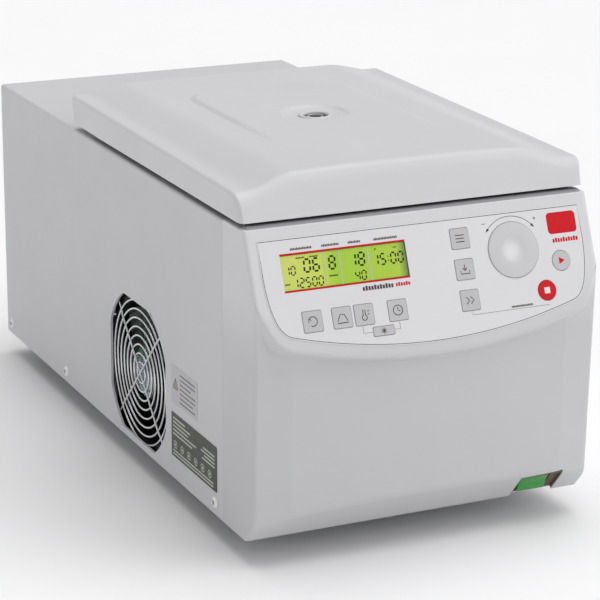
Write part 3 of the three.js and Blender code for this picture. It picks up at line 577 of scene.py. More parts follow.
def lathe(profile, segments=96, place=None, look=0, into=None):
    """Closed solid of revolution about Z from a closed profile of (radius, height)."""
    points, rings = [], []
    for radius, height in profile:
        if radius < 1e-6:
            rings.append([len(points)] * segments)
            points.append((0, 0, height))
            continue
        rings.append(list(range(len(points), len(points) + segments)))
        for k in range(segments):
            angle = 2 * math.pi * k / segments
            points.append((radius * math.cos(angle), radius * math.sin(angle), height))
    faces = []
    pairs = list(zip(rings, rings[1:]))
    if profile[0][0] > 1e-6 or profile[-1][0] > 1e-6:
        pairs.append((rings[-1], rings[0]))
    for one, two in pairs:
        for k in range(segments):
            n = (k + 1) % segments
            corners = [one[k], one[n], two[n], two[k]]
            face = [c for i, c in enumerate(corners) if c != corners[i - 1]]
            if len(set(face)) > 2:
                faces.append(tuple(face))
    return (into or Solid()).add(points, faces, look, place)


def above(base, profile):
    """A profile whose heights are given from a base height."""
    return [(radius, base + height) for radius, height in profile]


def tube(path, radius, sides=10, closed=False, look=0, place=None, into=None):
    """Round bar along a path, with flat ends unless it closes on itself."""
    route = [Vector(p) for p in path]
    count = len(route)
    points = []
    side = None
    for i, here in enumerate(route):
        if closed:
            along = (route[(i + 1) % count] - route[i - 1]).normalized()
        else:
            along = (route[min(i + 1, count - 1)] - route[max(i - 1, 0)]).normalized()
        if side is None:
            side = along.orthogonal()
        side = (side - along * side.dot(along)).normalized()
        other = along.cross(side)
        for k in range(sides):
            angle = 2 * math.pi * k / sides
            points.append(here + side * radius * math.cos(angle) + other * radius * math.sin(angle))
    faces = ring_faces(count, sides, closed) + ([] if closed else end_caps(count, sides))
    return (into or Solid()).add(points, faces, look, place)


def strip(path, width, z0, z1, look=0, place=None, into=None, closed=False):
    """Flat printed line along a path in the plane."""
    route = [Vector(p) for p in path]
    count = len(route)
    points = []
    for i, here in enumerate(route):
        if closed:
            before, after = route[i - 1], route[(i + 1) % count]
        else:
            before, after = route[max(i - 1, 0)], route[min(i + 1, count - 1)]
        along = (after - before).normalized()
        across = Vector((-along.y, along.x)) * width / 2
        for spot in (here + across, here - across):
            points.extend([(spot.x, spot.y, z0), (spot.x, spot.y, z1)])
    faces = []
    for i in range(count if closed else count - 1):
        a, b = 4 * i, 4 * ((i + 1) % count)
        faces.extend([(a, a + 1, b + 1, b), (a + 1, a + 3, b + 3, b + 1),
                      (a + 3, a + 2, b + 2, b + 3), (a + 2, a, b, b + 2)])
    if not closed:
        end = 4 * (count - 1)
        faces.extend([(0, 2, 3, 1), (end, end + 1, end + 3, end + 2)])
    return (into or Solid()).add(points, faces, look, place)


def arc(radius, start, end, x=0.0, y=0.0, steps=24):
    """Points of an arc; angles in degrees."""
    angles = [math.radians(start + (end - start) * k / steps) for k in range(steps + 1)]
    return [(x + radius * math.cos(a), y + radius * math.sin(a)) for a in angles]


def quadratic(start, control, end, steps=16):
    """Points of a quadratic curve, without its first."""
    points = []
    for k in range(1, steps + 1):
        t = k / steps
        points.append(tuple((1 - t) ** 2 * a + 2 * t * (1 - t) * b + t * t * c
                            for a, b, c in zip(start, control, end)))
    return points


def along_y(x=0.0, y=0.0, z=0.0):
    """Places a form drawn in XY so that it stands in XZ, with its height towards the back."""
    return at(x, y, z) @ Matrix(((1, 0, 0, 0), (0, 0, 1, 0), (0, 1, 0, 0), (0, 0, 0, 1)))


def smooth_min(a, b, reach):
    h = np.clip(0.5 + 0.5 * (b - a) / reach, 0, 1)
    return b * (1 - h) + a * h - reach * h * (1 - h)


def smooth_step(value, low, high):
    t = np.clip((value - low) / (high - low), 0, 1)
    return t * t * (3 - 2 * t)


def spread(low, high, step):
    """Evenly spaced values from low up to, but not with, high."""
    count = max(1, round((high - low) / step))
    return [low + (high - low) * k / count for k in range(count)]


def border(limit, radius, steps=6):
    """Values that crowd towards a rounded border at limit."""
    return [limit - radius + radius * math.sin(math.pi / 2 * k / steps) for k in range(1, steps + 1)]


def grid_faces(rows, columns):
    return [(r * columns + c, r * columns + c + 1, (r + 1) * columns + c + 1, (r + 1) * columns + c)
            for r in range(rows - 1) for c in range(columns - 1)]


SKIRT_STEPS = 6


def skirt(points, faces, rows, columns, axis, target, closed):
    """Runs a grid's rim straight to a plane across the axis; closed takes in the first row too.

    Returns the grid's points with the skirt's, and adds the skirt's faces to the list of faces."""
    rim = [r * columns for r in range(rows)]
    rim += [(rows - 1) * columns + c for c in range(1, columns)]
    rim += [r * columns + columns - 1 for r in reversed(range(rows - 1))]
    if closed:
        rim += reversed(range(1, columns - 1))
    everything, ring, size = [tuple(p) for p in points], rim, len(rim)
    for k in range(1, SKIRT_STEPS + 1):
        after = [len(everything) + i for i in range(size)]
        for i in rim:
            spot = list(points[i])
            spot[axis] += (target - spot[axis]) * k / SKIRT_STEPS
            everything.append(tuple(spot))
        faces += [(ring[i], ring[(i + 1) % size], after[(i + 1) % size], after[i])
                  for i in range(size if closed else size - 1)]
        ring = after
    return everything


def round_corners(u, v, half_u, top_v, round_u, round_v):
    """Moves grid points near the two upper corners on to arcs.

    Returns the points and how far the surface falls there towards its rounded border."""
    over_u = np.clip((np.abs(u) - (half_u - round_u)) / round_u, 0, 1)
    over_v = np.clip((v - (top_v - round_v)) / round_v, 0, 1)
    reach = np.maximum(over_u, over_v)
    both = (over_u > 0) & (over_v > 0)
    small = np.minimum(over_u, over_v) / np.maximum(reach, 1e-9) * math.pi / 4
    angle = np.where(over_u >= over_v, small, math.pi / 2 - small)
    new_u = np.where(both, np.sign(u) * (half_u - round_u + round_u * reach * np.cos(angle)), u)
    new_v = np.where(both, top_v - round_v + round_v * reach * np.sin(angle), v)
    radius = round_u * np.cos(angle) ** 2 + round_v * np.sin(angle) ** 2
    return new_u, new_v, radius * (1 - np.sqrt(1 - reach ** 2))


# ---- Front fascia ----
FASCIA_ROUND = 3.0
FASCIA_TOP_ROUND = 0.9
FASCIA_TOP = DECK + 1.0


def bulge_side():
    """Lower edge of the bulge from the middle to the right side, in console coordinates."""
    corner_x, corner_y = BULGE_CORNER
    points = [(0.0, 0.5 * corner_y + 0.5 * BULGE_DIP)]
    for k in range(1, 25):
        t = 0.5 + k / 48
        points.append((
            (2 * t - 1) * corner_x,
            (1 - t) ** 2 * corner_y + 2 * t * (1 - t) * BULGE_DIP + t * t * corner_y))
    points += quadratic(BULGE_CORNER, (HALF - 2, -86), (HALF, BULGE_SIDE_END), 30)
    return points


def edge_distance(x, v, line):
    """Distance to the bulge's lower edge, negative inside the bulge."""
    near = np.full(x.shape, 1e9)
    for (x0, v0), (x1, v1) in zip(line, line[1:]):
        dx, dv = x1 - x0, v1 - v0
        t = np.clip(((x - x0) * dx + (v - v0) * dv) / (dx * dx + dv * dv), 0, 1)
        near = np.minimum(near, np.hypot(x - x0 - t * dx, v - v0 - t * dv))
    lowest = np.interp(x, [p[0] for p in line], [p[1] for p in line])
    return np.where(v < lowest, near, -near)


def fascia_front(x, z):
    """Y of the fascia's front at x, z, before its outer edges are rounded."""
    side = np.abs(x)
    shoulder_x, shoulder_y = SHOULDER
    plan = np.where(
        side < shoulder_x,
        FACE_CENTRE + (shoulder_y - FACE_CENTRE) * (side / shoulder_x) ** 2,
        shoulder_y + (FACE_SIDE - shoulder_y) * (side - shoulder_x) / (HALF - shoulder_x))
    lower = plan - FACE_LEAN * (z - LEAN_FROM)
    console = CONSOLE_Y - math.tan(SLOPE) * (CONSOLE_Z - z)
    outside = edge_distance(side, (z - CONSOLE_Z) / math.cos(SLOPE), bulge_side())
    softness = 0.9
    beyond = softness * np.logaddexp(0, outside / softness)
    bulge = console + (1 / math.tan(SLOPE) + math.tan(SLOPE)) * math.cos(SLOPE) * beyond
    front = np.maximum(smooth_min(lower, bulge, 3.0), console)
    chamfer = CHAMFER_Y - math.tan(CHAMFER_ANGLE) * (z - BASE)
    return -smooth_min(-front, -chamfer, 3.0)


def fascia_shell():
    """Front skin as a grid whose rows follow the bulge's edge, with its sides and top run back."""
    half = spread(0, SHOULDER[0] - 6, 3.2) + spread(SHOULDER[0] - 6, HALF - FASCIA_ROUND, 1.0)
    half += [HALF - FASCIA_ROUND] + border(HALF, FASCIA_ROUND)
    columns = [-x for x in reversed(half[1:])] + half
    side = np.abs(np.array(columns))
    line = bulge_side()
    edge = CONSOLE_Z + math.cos(SLOPE) * np.interp(side, [p[0] for p in line], [p[1] for p in line])
    low_rows = spread(BASE, BASE + 18, 3) + spread(BASE + 18, BASE + 34, 1.0)
    rows = [np.full(side.shape, z) for z in low_rows]
    start, near = BASE + 34, edge - 9
    rows += [start + (near - start) * k / 22 for k in range(22)]
    rows += [edge + offset for offset in spread(-9, 4, 0.5)]
    last = FASCIA_TOP - FASCIA_TOP_ROUND
    rows += [edge + 4 + (last - edge - 4) * k / 24 for k in range(25)]
    rows += [np.full(side.shape, z) for z in border(FASCIA_TOP, FASCIA_TOP_ROUND)]
    x = np.tile(np.array(columns), (len(rows), 1))
    z = np.array(rows)
    new_x, new_z, fall = round_corners(x, z, HALF, FASCIA_TOP, FASCIA_ROUND, FASCIA_TOP_ROUND)
    y = fascia_front(np.clip(new_x, -HALF + 1, HALF - 1), new_z) + fall
    points = np.stack([new_x, y, new_z], axis=-1).reshape(-1, 3)
    shape = len(rows), len(columns)
    faces = grid_faces(*shape)
    return Solid().add(skirt(points, faces, *shape, 1, SEAM - GAP, False), faces)


SWITCH_X = (80.0, 117.0)


def fascia_cutters():
    left = rounded([(-119, -15), (-14, -15), (-14, -90), (-60, -88.5), (-100, -81), (-119, -72)], 3)
    right = rounded([(16, -11), (119, -11), (119, -70), (105, -79), (16, -88)], 3)
    opening = rectangle(*SWITCH_X, -6, 27.5, 1.5)
    return [
        slab(left, -15, 5, place=CONSOLE),
        slab(right, -15, 5, place=CONSOLE),
        slab(opening, -12, 10, place=CHAMFER)]


def make_fascia():
    piece("fascia_skin", fascia_shell(), "housing", [FRONT_MOULDED_WITH_PAINTED_LIGHT], ["front_fascia"],
          fascia_cutters(), thickness=WALL)
    # The ledge in front of the lid is grey: painted shade, the lid's shadow on the fascia's top.
    front, back = CONSOLE_Y + 0.5, LID_LOW.y + 5
    section = [(front, FASCIA_TOP - 0.2), (back, FASCIA_TOP - 0.2), (back, FASCIA_TOP + 1.5),
               (front + 4.2, FASCIA_TOP + 1.5)]
    rest = slab(section, 4 - HALF, HALF - 4, 0.15, 0.15, place=YZ_PLANE)
    piece("lid_rest", rest, "housing", [LEDGE_SHADE_GREY], crease=20)


# ---- Lid ----
LID_ROUND = 3.2
LID_FRONT_ROUND = 8.0
LID_LEAN = 7.0
LID_SIDE = HALF + 1.5
LID_DRAFT = 1.4
LID_DROP = 0.4
# Start, end and step of the columns of the lid's grid.
LID_COLUMNS = ((0, 70, 2.0), (70, 86, 1.0), (86, 134, 1.6))
LID_ROW_STEP = 2.2
DISH_RADIUS = 27.0
DISH_STEP = 1.9
SIGHT_RADIUS = 13.5
PAD_HALF = 69.0
PAD_REAR = 36.0
PAD_CORNER = 34.0
PAD_HEIGHT = 2.0
HINGE_X = 96


def lid_height(x, y):
    """Height of the lid's top: low side bands, an S-curve, a raised pad and a dish round the sight."""
    side = np.abs(x)
    back = (y - LID_LOW.y) / (LID_HIGH.y - LID_LOW.y)
    band = 277.0 + 4.0 * back
    crown = 286.8 + 0.8 * back
    rise = smooth_step(134 - side, 1, 42)
    valley = -0.4 * np.exp(-((side - 127) / 6) ** 2) * smooth_step(y, LID_LOW.y, LID_LOW.y + 60)
    fade = smooth_step(y, LID_LOW.y + 70, LID_LOW.y + 190)
    over_x = np.maximum(0, side - (PAD_HALF - PAD_CORNER))
    over_y = np.maximum(0, y - (PAD_REAR - PAD_CORNER))
    reach = np.hypot(over_x, over_y) - PAD_CORNER
    middle_fade = smooth_step(side, 8, 46)
    pad = PAD_HEIGHT * smooth_step(-reach, -2.2, 2.2)
    pad = pad * np.where(y > PAD_REAR - PAD_CORNER, 0.25 + 0.75 * middle_fade, 1.0)
    soft = PAD_HEIGHT * smooth_step(-reach, -60, 30)
    pad = pad * fade + soft * (1 - fade)
    radius = np.hypot(x - AXIS.x, y - AXIS.y)
    front_fade = 1 - 0.8 * smooth_step(AXIS.y - y, -10, 24)
    dish_edge = -DISH_STEP * smooth_step(DISH_RADIUS - radius, 0, 2.4) * front_fade
    dish = dish_edge - 1.0 * smooth_step(24 - radius, 0, 9)
    return band + (crown - band) * rise + valley + pad + dish


def lid_grid_shell():
    """Lid as a grid over its top, with a skirt down to its lower edge, leaning front and drawn-in sides."""
    half = [x for band in LID_COLUMNS for x in spread(*band)]
    side = LID_SIDE
    half += [side - LID_ROUND] + border(side, LID_ROUND)
    columns = np.array([-x for x in reversed(half[1:])] + half)
    front, rear = LID_LOW.y, LID_HIGH.y
    centre = (front + rear) / 2
    reach = (rear - front) / 2
    rows = []
    for radius in (LID_FRONT_ROUND, LID_ROUND):
        rows = [-v for v in reversed(rows[1:])]
        rows += spread(0, reach - radius, LID_ROW_STEP) + [reach - radius] + border(reach, radius)
    rows = np.array(rows)
    x, v = np.meshgrid(columns, rows)
    new_x, new_v, fall = round_corners(x, np.abs(v), side, reach, LID_ROUND,
                                     np.where(v < 0, LID_FRONT_ROUND, LID_ROUND))
    y = centre + np.sign(v) * new_v
    z = lid_height(new_x, y) - fall
    points = np.stack([new_x, y, z], axis=-1).reshape(-1, 3)
    shape = len(rows), len(columns)
    faces = grid_faces(*shape)
    everything = np.array(skirt(points, faces, *shape, 2, LID_LOW.z, True))
    share = np.clip((everything[:, 2] - LID_LOW.z) / (LID_HIGH.z - 12 - LID_LOW.z), 0, 1.3)
    everything[:, 1] += LID_LEAN * share * (1 - smooth_step(everything[:, 1], front, front + 60))
    everything[:, 0] -= LID_DRAFT * (1 - np.clip(share, 0, 1)) * np.sign(everything[:, 0]) * (
        np.abs(everything[:, 0]) > side - 2 * LID_ROUND)
    everything[:, 2] -= LID_DROP * (share <= 0.001) * (1 - smooth_step(everything[:, 1], 30, 75))
    return Solid().add(list(map(tuple, everything)), faces)


def make_lid():
    hole = slab(circle(SIGHT_RADIUS, 72, AXIS.x, AXIS.y), 262, 300)
    rear_notch = Solid()
    for side in (-1, 1):
        middle_x = side * HINGE_X
        block(middle_x - 20, middle_x + 20, LID_HIGH.y - 8, LID_HIGH.y + 5, 250, 261.5, into=rear_notch)
    piece("lid_cover", lid_grid_shell(), "lid", [MOULDED], ["lid_shell"],
          [hole, rear_notch], thickness=WALL)
    bottom = LID_LOW.z - 2
    ring = lathe([
        (9.4, bottom), (19, bottom), (19, LID_LOW.z + 0.2), (14.2, LID_LOW.z + 0.2), (14.2, 281.6),
        (12.9, 282.2), (12.9, 286.4), (13.3, 286.8), (13.3, 287.2), (12.9, 287.7), (12.0, 288.0),
        (11.0, 287.9), (10.3, 287.5), (9.9, 286.8), (9.7, 285.6), (9.7, 284.0), (8.8, 283.6), (8.8, 282),
        (9.4, 281.4)], 96, AT_AXIS)
    piece("sight_ring", ring, "lid", [MOULDED], ["sight_port"], crease=50)
    pane = lathe([(0, 283.9), (9.2, 283.9), (9.5, 284.1), (9.5, 285.8), (7, 286.1), (3.5, 286.3),
                  (0, 286.4)], 72, AT_AXIS)
    pale_ring = [(5.5, 285.9), (6.1, 285.9), (6.1, 286.4), (5.9, 286.6), (5.7, 286.6), (5.5, 286.4)]
    lathe(pale_ring, 72, AT_AXIS, 1, pane)
    piece("sight_pane", pane, "lid", [GLASS, MOULDED], ["sight_glass"], crease=60)
    low, high = box_mm("lid_gasket")
    lip = [(102, low.z + 1.2), (103, low.z + 0.2), (104.6, low.z), (106, low.z + 0.9), (107.6, low.z),
           (109, low.z + 0.2), (110, low.z + 1.4), (109.4, high.z), (102.8, high.z)]
    piece("chamber_gasket", lathe(lip, 144, AT_AXIS), "lid", [RUBBER], ["lid_gasket"], crease=50)
    make_liner()
    make_gap_shade_strip()


# Inset and rear end of the dark strip that paints the shade in the gap under the lid.
GAP_SHADE_INSET = 6.0
GAP_SHADE_END = 58.0


def make_gap_shade_strip():
    """Black strip under the front and sides of the lid: a dark sheet that paints the shade in the gap under
    the lid.
    """
    side, front = HALF - GAP_SHADE_INSET, LID_LOW.y + GAP_SHADE_INSET
    corner = rounded([(-side, GAP_SHADE_END), (-side, front), (side, front), (side, GAP_SHADE_END)], [0, 8, 8, 0], 8)
    shade_strip = strip(corner, 3.0, DECK + 2.6, LID_LOW.z + 0.5)
    piece("lid_gap_shade_strip", shade_strip, "lid", [RUBBER], bevel=0.5)


def make_liner():
    low, high = box_mm("lid_liner")
    plate = slab(rectangle(low.x, high.x, low.y, high.y, 4), low.z, high.z, 0.5, 0.3)
    cutters = [slab(circle(16.3, 64, AXIS.x, AXIS.y), 240, 280)]
    for side in (-1, 1):
        notch = rectangle(side * HINGE_X - 18, side * HINGE_X + 18, high.y - 15, high.y + 9, 2)
        cutters.append(slab(notch, 240, 280))
    piece("lid_inner_panel", plate, "lid", [MOULDED], ["lid_liner"], cutters, bevel=0.25)
    heads = Solid()
    for x in (-122, 0, 122):
        for y in (low.y + 12, high.y - 12):
            screw(heads, at(x, y, low.z - 0.05) @ turned(math.pi, "X"), 3.4)
    piece("lid_screws", heads, "lid", [ZINC])


def screw(into, place, radius=3.6, socket_look=0):
    """Pan head with a hexagon socket, standing out along Z."""
    count = 36
    rings = []
    for share, height in ((1.0, 0.0), (1.0, 0.6), (0.86, 1.5), (0.62, 2.0), (0.5, 2.1)):
        rings.append([(radius * share * math.cos(2 * math.pi * k / count),
                       radius * share * math.sin(2 * math.pi * k / count), height) for k in range(count)])
    for height in (2.05, 0.9):
        ring = []
        for k in range(count):
            angle = 2 * math.pi * k / count
            reach = radius * 0.42 / math.cos((angle % (math.pi / 3)) - math.pi / 6)
            ring.append((reach * math.cos(angle), reach * math.sin(angle), height))
        rings.append(ring)
    bottom, socket = end_caps(len(rings), count)
    start = len(into.points)
    into.add([p for ring in rings for p in ring], ring_faces(len(rings), count) + [bottom], 0, place)
    into.faces.append(tuple(start + i for i in socket))
    into.looks.append(socket_look)


# ---- Cabinet ----
SHEET_BEND = 2.6
SIDE_VENTS, SIDE_VENT_START, SIDE_VENT_PITCH = 9, 112.5, 14
REAR_VENTS, REAR_VENT_START, REAR_VENT_PITCH = 10, 110, 11


def cabinet_section(shrink):
    """Three-sided section of the folded sheet, from the left foot over the deck to the right foot."""
    side, top = HALF - shrink, DECK - shrink
    bend = max(SHEET_BEND - shrink, 0.6)
    outer = [(-side, BASE)]
    outer += arc(bend, 180, 90, -side + bend, top - bend, 8)
    outer += arc(bend, 90, 0, side - bend, top - bend, 8)
    outer.append((side, BASE))
    return outer


def fan_opening():
    """Round opening clipped by the fan's square frame."""
    flat, low, high = 60.0, -56.5, 59.0
    points = [(max(-flat, min(flat, x)), max(low, min(high, y))) for x, y in circle(GUARD_REACH, 144)]
    return [p for i, p in enumerate(points) if p != points[i - 1]]


def make_cabinet():
    section = cabinet_section(0) + list(reversed(cabinet_section(SHEET)))
    shell = stack(section, [(0.25, 0), (0, 0.25), (0, REAR - SEAM - 0.25), (0.25, REAR - SEAM)],
                  place=along_y(0, SEAM, 0))
    fan_hole = slab(fan_opening(), -10, 10, place=at(-HALF, FAN.y, FAN.z) @ YZ_PLANE)
    deck_hole = slab(circle(105, 144, AXIS.x, AXIS.y), DECK - 10, DECK + 10)
    lock_slot = slab(rectangle(-7, 7, -212, -196, 2), DECK - 10, DECK + 10)
    vents = Solid()
    for k in range(SIDE_VENTS):
        y = SIDE_VENT_START + k * SIDE_VENT_PITCH
        slot = rectangle(y - 2.5, y + 2.5, 70, 150, 2.4)
        slab(slot, -10, 10, place=at(HALF, 0, 0) @ YZ_PLANE, into=vents)
    piece("cabinet_cover", shell, "housing", [PAINT], ["cabinet_shell"],
          [fan_hole, deck_hole, lock_slot, vents])
    heads = Solid()
    for side in (-1, 1):
        for y in (275.8, 128, -200.6):
            turn = turned(side * math.pi / 2, "Y")
            # The white heads get black socket floors: painted shade in the sockets.
            screw(heads, at(side * (HALF - 0.1), y, BASE + 10) @ turn, 4.6, 1)
    piece("cabinet_screws", heads, "housing", [SCREW_WHITE, BLACK])


def make_rear():
    low, high = box_mm("rear_panel")
    outline = rectangle(low.x, high.x, low.z, high.z, 2)
    plate = slab(outline, low.y, high.y, 0.2, 0.2, place=along_y())
    vents = Solid()
    for k in range(REAR_VENTS):
        z = REAR_VENT_START + k * REAR_VENT_PITCH
        for x0, x1 in ((-110, -20), (20, 110)):
            slab(rectangle(x0, x1, z, z + 4, 1.9), low.y - 5, high.y + 5, place=along_y(), into=vents)
    inlet = slab(rectangle(-109, -81, 49, 71, 2), low.y - 5, high.y + 5, place=along_y())
    piece("rear_cover", plate, "housing", [PAINT], ["rear_panel"], [vents, inlet])
    heads = Solid()
    for x in (-130, 0, 130):
        for z in (32, 240):
            turn = turned(-math.pi / 2, "X")
            screw(heads, at(x, high.y - 0.1, z) @ turn)
    for x in (-115.5, -74.5):
        screw(heads, at(x, high.y + 1.9, 60) @ turned(-math.pi / 2, "X"), 2.6)
    piece("rear_screws", heads, "housing", [ZINC])
    low, high = box_mm("power_inlet")
    flange = slab(rectangle(low.x, high.x, low.z, high.z, 5), REAR - 0.05, REAR + 1.6, 0.1, 0.5,
                  place=along_y())
    slab(rectangle(-108.3, -81.7, 49.7, 70.3, 2), low.y, REAR + 0.3, 0.4, place=along_y(), into=flange)
    socket = slab(rounded([(-106, 52), (-84, 52), (-84, 63.5), (-88, 68), (-102, 68), (-106, 63.5)], 0.6),
                  REAR - 16, REAR + 9, place=along_y())
    piece("inlet_body", flange, "housing", [BLACK], ["power_inlet"], [socket])
    pins = Solid()
    for x in (-103, -95, -87):
        lift = 2.6 if x == -95 else 0
        block(x - 1, x + 1, 56.5 + lift, 60.5 + lift, REAR - 17, REAR - 2, 0.4, 0.3, place=along_y(),
              into=pins)
    piece("inlet_pins", pins, "housing", [ZINC])


def make_feet():
    for name in ("foot_front_left", "foot_front_right", "foot_rear_left", "foot_rear_right"):
        centre = middle(name)
        low, high = box_mm(name)
        profile = [(0, low.z), (12.5, low.z), (14.2, 0.5), (15.4, 1.8), (16, 4), (16, 6), (15.4, 6.6),
                   (15.4, 7.6), (16, 8.2), (15.6, 13.5), (14.8, 16.5), (13.2, high.z), (0, high.z)]
        foot = lathe(profile, 64, at(centre.x, centre.y, 0))
        piece(name.replace("foot", "rubber_foot"), foot, "housing", [RUBBER], [name], crease=50)


# ---- Fan ----
def make_fan():
    low, high = box_mm("fan_frame")
    place = at(low.x, FAN.y, FAN.z) @ YZ_PLANE
    half = (high.y - low.y) / 2
    depth = high.x - low.x
    outline = rectangle(-half, half, -half, half, 6)
    body = slab(outline, 0, depth, 0.6, 0.6, place=place)
    bore = lathe([(0, -5), (58.8, -5), (58.8, 0.5), (57.2, 3), (57, 6), (57, depth - 5), (58.8, depth + 3),
                  (0, depth + 3)], 128, place)
    relief = Solid()
    for k in range(4):
        turn = turned(math.pi / 4 + k * math.pi / 2)
        block(57, 80, -22, 22, 4, depth - 4, 2, 0.5, place=place @ turn, into=relief)
    piece("fan_shroud", body, "housing", [FAN_BLACK], ["fan_frame"], [bore, relief])
    struts = Solid()
    slab(circle(19, 64), depth - 4, depth, 0.3, 0.3, place=place, into=struts)
    for k in range(3):
        turn = turned(math.pi / 2 - (2 * k + 0.5) * math.pi / 3)
        block(15, 58, -2.5, 2.5, depth - 4, depth - 0.4, 0.8, 0.4, place=place @ turn, into=struts)
    for k in range(4):
        turn = turned(math.pi / 4 + k * math.pi / 2)
        screw(struts, place @ turn @ at(74, 0, -0.2) @ turned(math.pi, "X"), 3.2)
    piece("fan_struts", struts, "housing", [FAN_BLACK])
    make_impeller(low.x)
    make_guard()


def blade(tip, root, pitch_root, pitch_tip):
    """Curved fan blade from root to tip radius, about the Z axis."""
    rows, columns = 9, 11
    top, bottom = [], []
    for r in range(rows):
        share = r / (rows - 1)
        radius = root + (tip - root) * share
        pitch = math.radians(pitch_root + (pitch_tip - pitch_root) * share)
        chord = 24 + 14 * share
        sweep = math.radians(16 * share)
        for c in range(columns):
            s = (c / (columns - 1) - 0.5) * chord
            camber = 2.4 * (1 - (2 * s / chord) ** 2)
            around = (s * math.cos(pitch)) / radius + sweep
            height = s * math.sin(pitch) + camber
            thick = 0.35 + 0.65 * math.sqrt(max(0.0, 1 - (2 * s / chord) ** 2))
            spot = (radius * math.cos(around), radius * math.sin(around))
            top.append((*spot, height + thick))
            bottom.append((*spot, height - thick))
    size = rows * columns
    faces = grid_faces(rows, columns)
    faces += [tuple(size + i for i in reversed(face)) for face in grid_faces(rows, columns)]
    ring = list(range(columns)) + [r * columns + columns - 1 for r in range(1, rows)]
    ring += [(rows - 1) * columns + c for c in reversed(range(columns - 1))]
    ring += [r * columns for r in reversed(range(1, rows - 1))]
    faces += [(ring[i], ring[(i + 1) % len(ring)], size + ring[(i + 1) % len(ring)], size + ring[i])
              for i in range(len(ring))]
    return top + bottom, faces


# Radius and depth of the fan's hub.
HUB = (23.0, 18.0)
BLADES = 7
BLADE_TIP = 54.2
GUARD_WIRE = 0.95
GUARD_RINGS = 8
GUARD_REACH = 66.0


def make_impeller(front):
    place = at(front + 2.2, FAN.y, FAN.z) @ YZ_PLANE
    radius, depth = HUB
    hub = lathe([(0, 0.6), (3.6, 0.6), (4.0, 0.1), (4.4, 0), (radius - 2.5, 0), (radius - 0.9, 0.5),
                 (radius, 2), (radius, depth), (radius - 1.5, depth), (radius - 2.1, 4), (0, 4)], 96, place)
    points, faces = blade(BLADE_TIP, radius - 0.7, 44, 27)
    for k in range(BLADES):
        turn = turned(2 * math.pi * k / BLADES) @ at(0, 0, 9)
        hub.add(points, faces, 0, place @ turn)
    slab(circle(radius - 3, 64), -0.08, 0.06, look=1, place=place, into=hub)
    strip(circle(radius - 7, 64), 0.8, -0.14, -0.06, 2, place, hub, True)
    for y, length in ((2.6, 14), (0, 20), (-2.6, 12)):
        strip([(-length / 2, y), (length / 2, y)], 0.8, -0.14, -0.06, 2, place, hub)
    piece("fan_rotor", hub, "fan_impeller", [FAN_BLADE, HUB_LABEL, BOARD], ["fan_impeller"],
          crease=45)


def make_guard():
    place = at(FAN.x, FAN.y, FAN.z) @ YZ_PLANE
    wires = Solid()
    for k in range(GUARD_RINGS):
        ring = [(x, y, 0) for x, y in circle(8.6 + 7.2 * k, 96)]
        tube(ring, GUARD_WIRE, 10, True, place=place, into=wires)
    for k in (1, 3):
        turn = turned(k * math.pi / 4)
        wire = [(s * GUARD_REACH / 10, 0, -0.9 if abs(s) < 9 else -0.2) for s in range(-10, 11)]
        tube(wire, GUARD_WIRE, 10, place=place @ turn, into=wires)
    piece("fan_wire_guard", wires, "housing", [WIRE], ["fan_guard"], crease=50)


def print_row(into, start, end, y, height, look, depth, place):
    """Row of small upright marks that stands where a printed word is."""
    heights = (0.8, 1.0, 0.86, 0.8, 1.0, 0.8, 0.94)
    count = max(2, round((end - start) / (height * 0.68)))
    step = (end - start) / count
    for k in range(count):
        left, bottom = start + k * step, y - height / 2
        mark = rectangle(left, left + step * 0.76, bottom, bottom + height * heights[k % len(heights)])
        slab(mark, *depth, look=look, place=place, into=into)


# ---- Plate and label on the left side ----
def make_plates():
    low, high = box_mm("rating_plate")
    place = at(-HALF, 0, 0) @ Matrix(((0, 0, -1, 0), (-1, 0, 0, 0), (0, 1, 0, 0), (0, 0, 0, 1)))
    left, right = -high.y, -low.y
    plate = slab(rectangle(left, right, low.z, high.z, 1.2), 0.05, 0.4, 0, 0.1, place=place)
    depth = (0.38, 0.46)
    for k, length in enumerate((24, 34, 30, 46, 38)):
        print_row(plate, left + 3.5, left + 3.5 + length, high.z - 4.0 - 3.2 * k, 1.5, 1, depth, place)
    for k, length in enumerate((22, 26, 20, 24)):
        print_row(plate, right - 4 - length, right - 4, high.z - 8.5 - 2.9 * k, 1.4, 1, depth, place)
    for k in range(6):
        x, y = left + 8 + k * 13.5, low.z + 10.6
        mark = circle(2.8, 24, x, y) if k % 2 else rectangle(x - 2.6, x + 2.6, y - 2.6, y + 2.6, 0.8)
        strip(mark, 0.6, *depth, 1, place, plate, True)
        slab(circle(1.1, 16, x, y), *depth, look=1, place=place, into=plate)
    for k in range(2):
        print_row(plate, left + 3.5, right - 6, low.z + 5.4 - 2.6 * k, 1.3, 1, depth, place)
    piece("side_plate", plate, "housing", [PLATE, PLATE_INK], ["rating_plate"])
    label_low, label_high = 82.5, 113.0
    label = slab(rectangle(left, left + 52, label_low, label_high, 1.5), 0.03, 0.2, 0, 0.05, place=place)
    for k, length in enumerate((30, 30, 22, 31, 31, 26, 30)):
        y = label_high - 4.4 - 3.7 * k
        print_row(label, left + 17, left + 17 + length, y, 1.25, 1, (0.19, 0.26), place)
    badge = rounded([(left + 3.6, label_high - 18), (left + 13.6, label_high - 18),
                     (left + 8.6, label_high - 9)], 0.9)
    slab(badge, 0.18, 0.24, look=2, place=place, into=label)
    strip(badge, 0.9, 0.19, 0.28, 1, place, label, True)
    piece("side_label", label, "housing", [LABEL, FINE_INK, TAN])


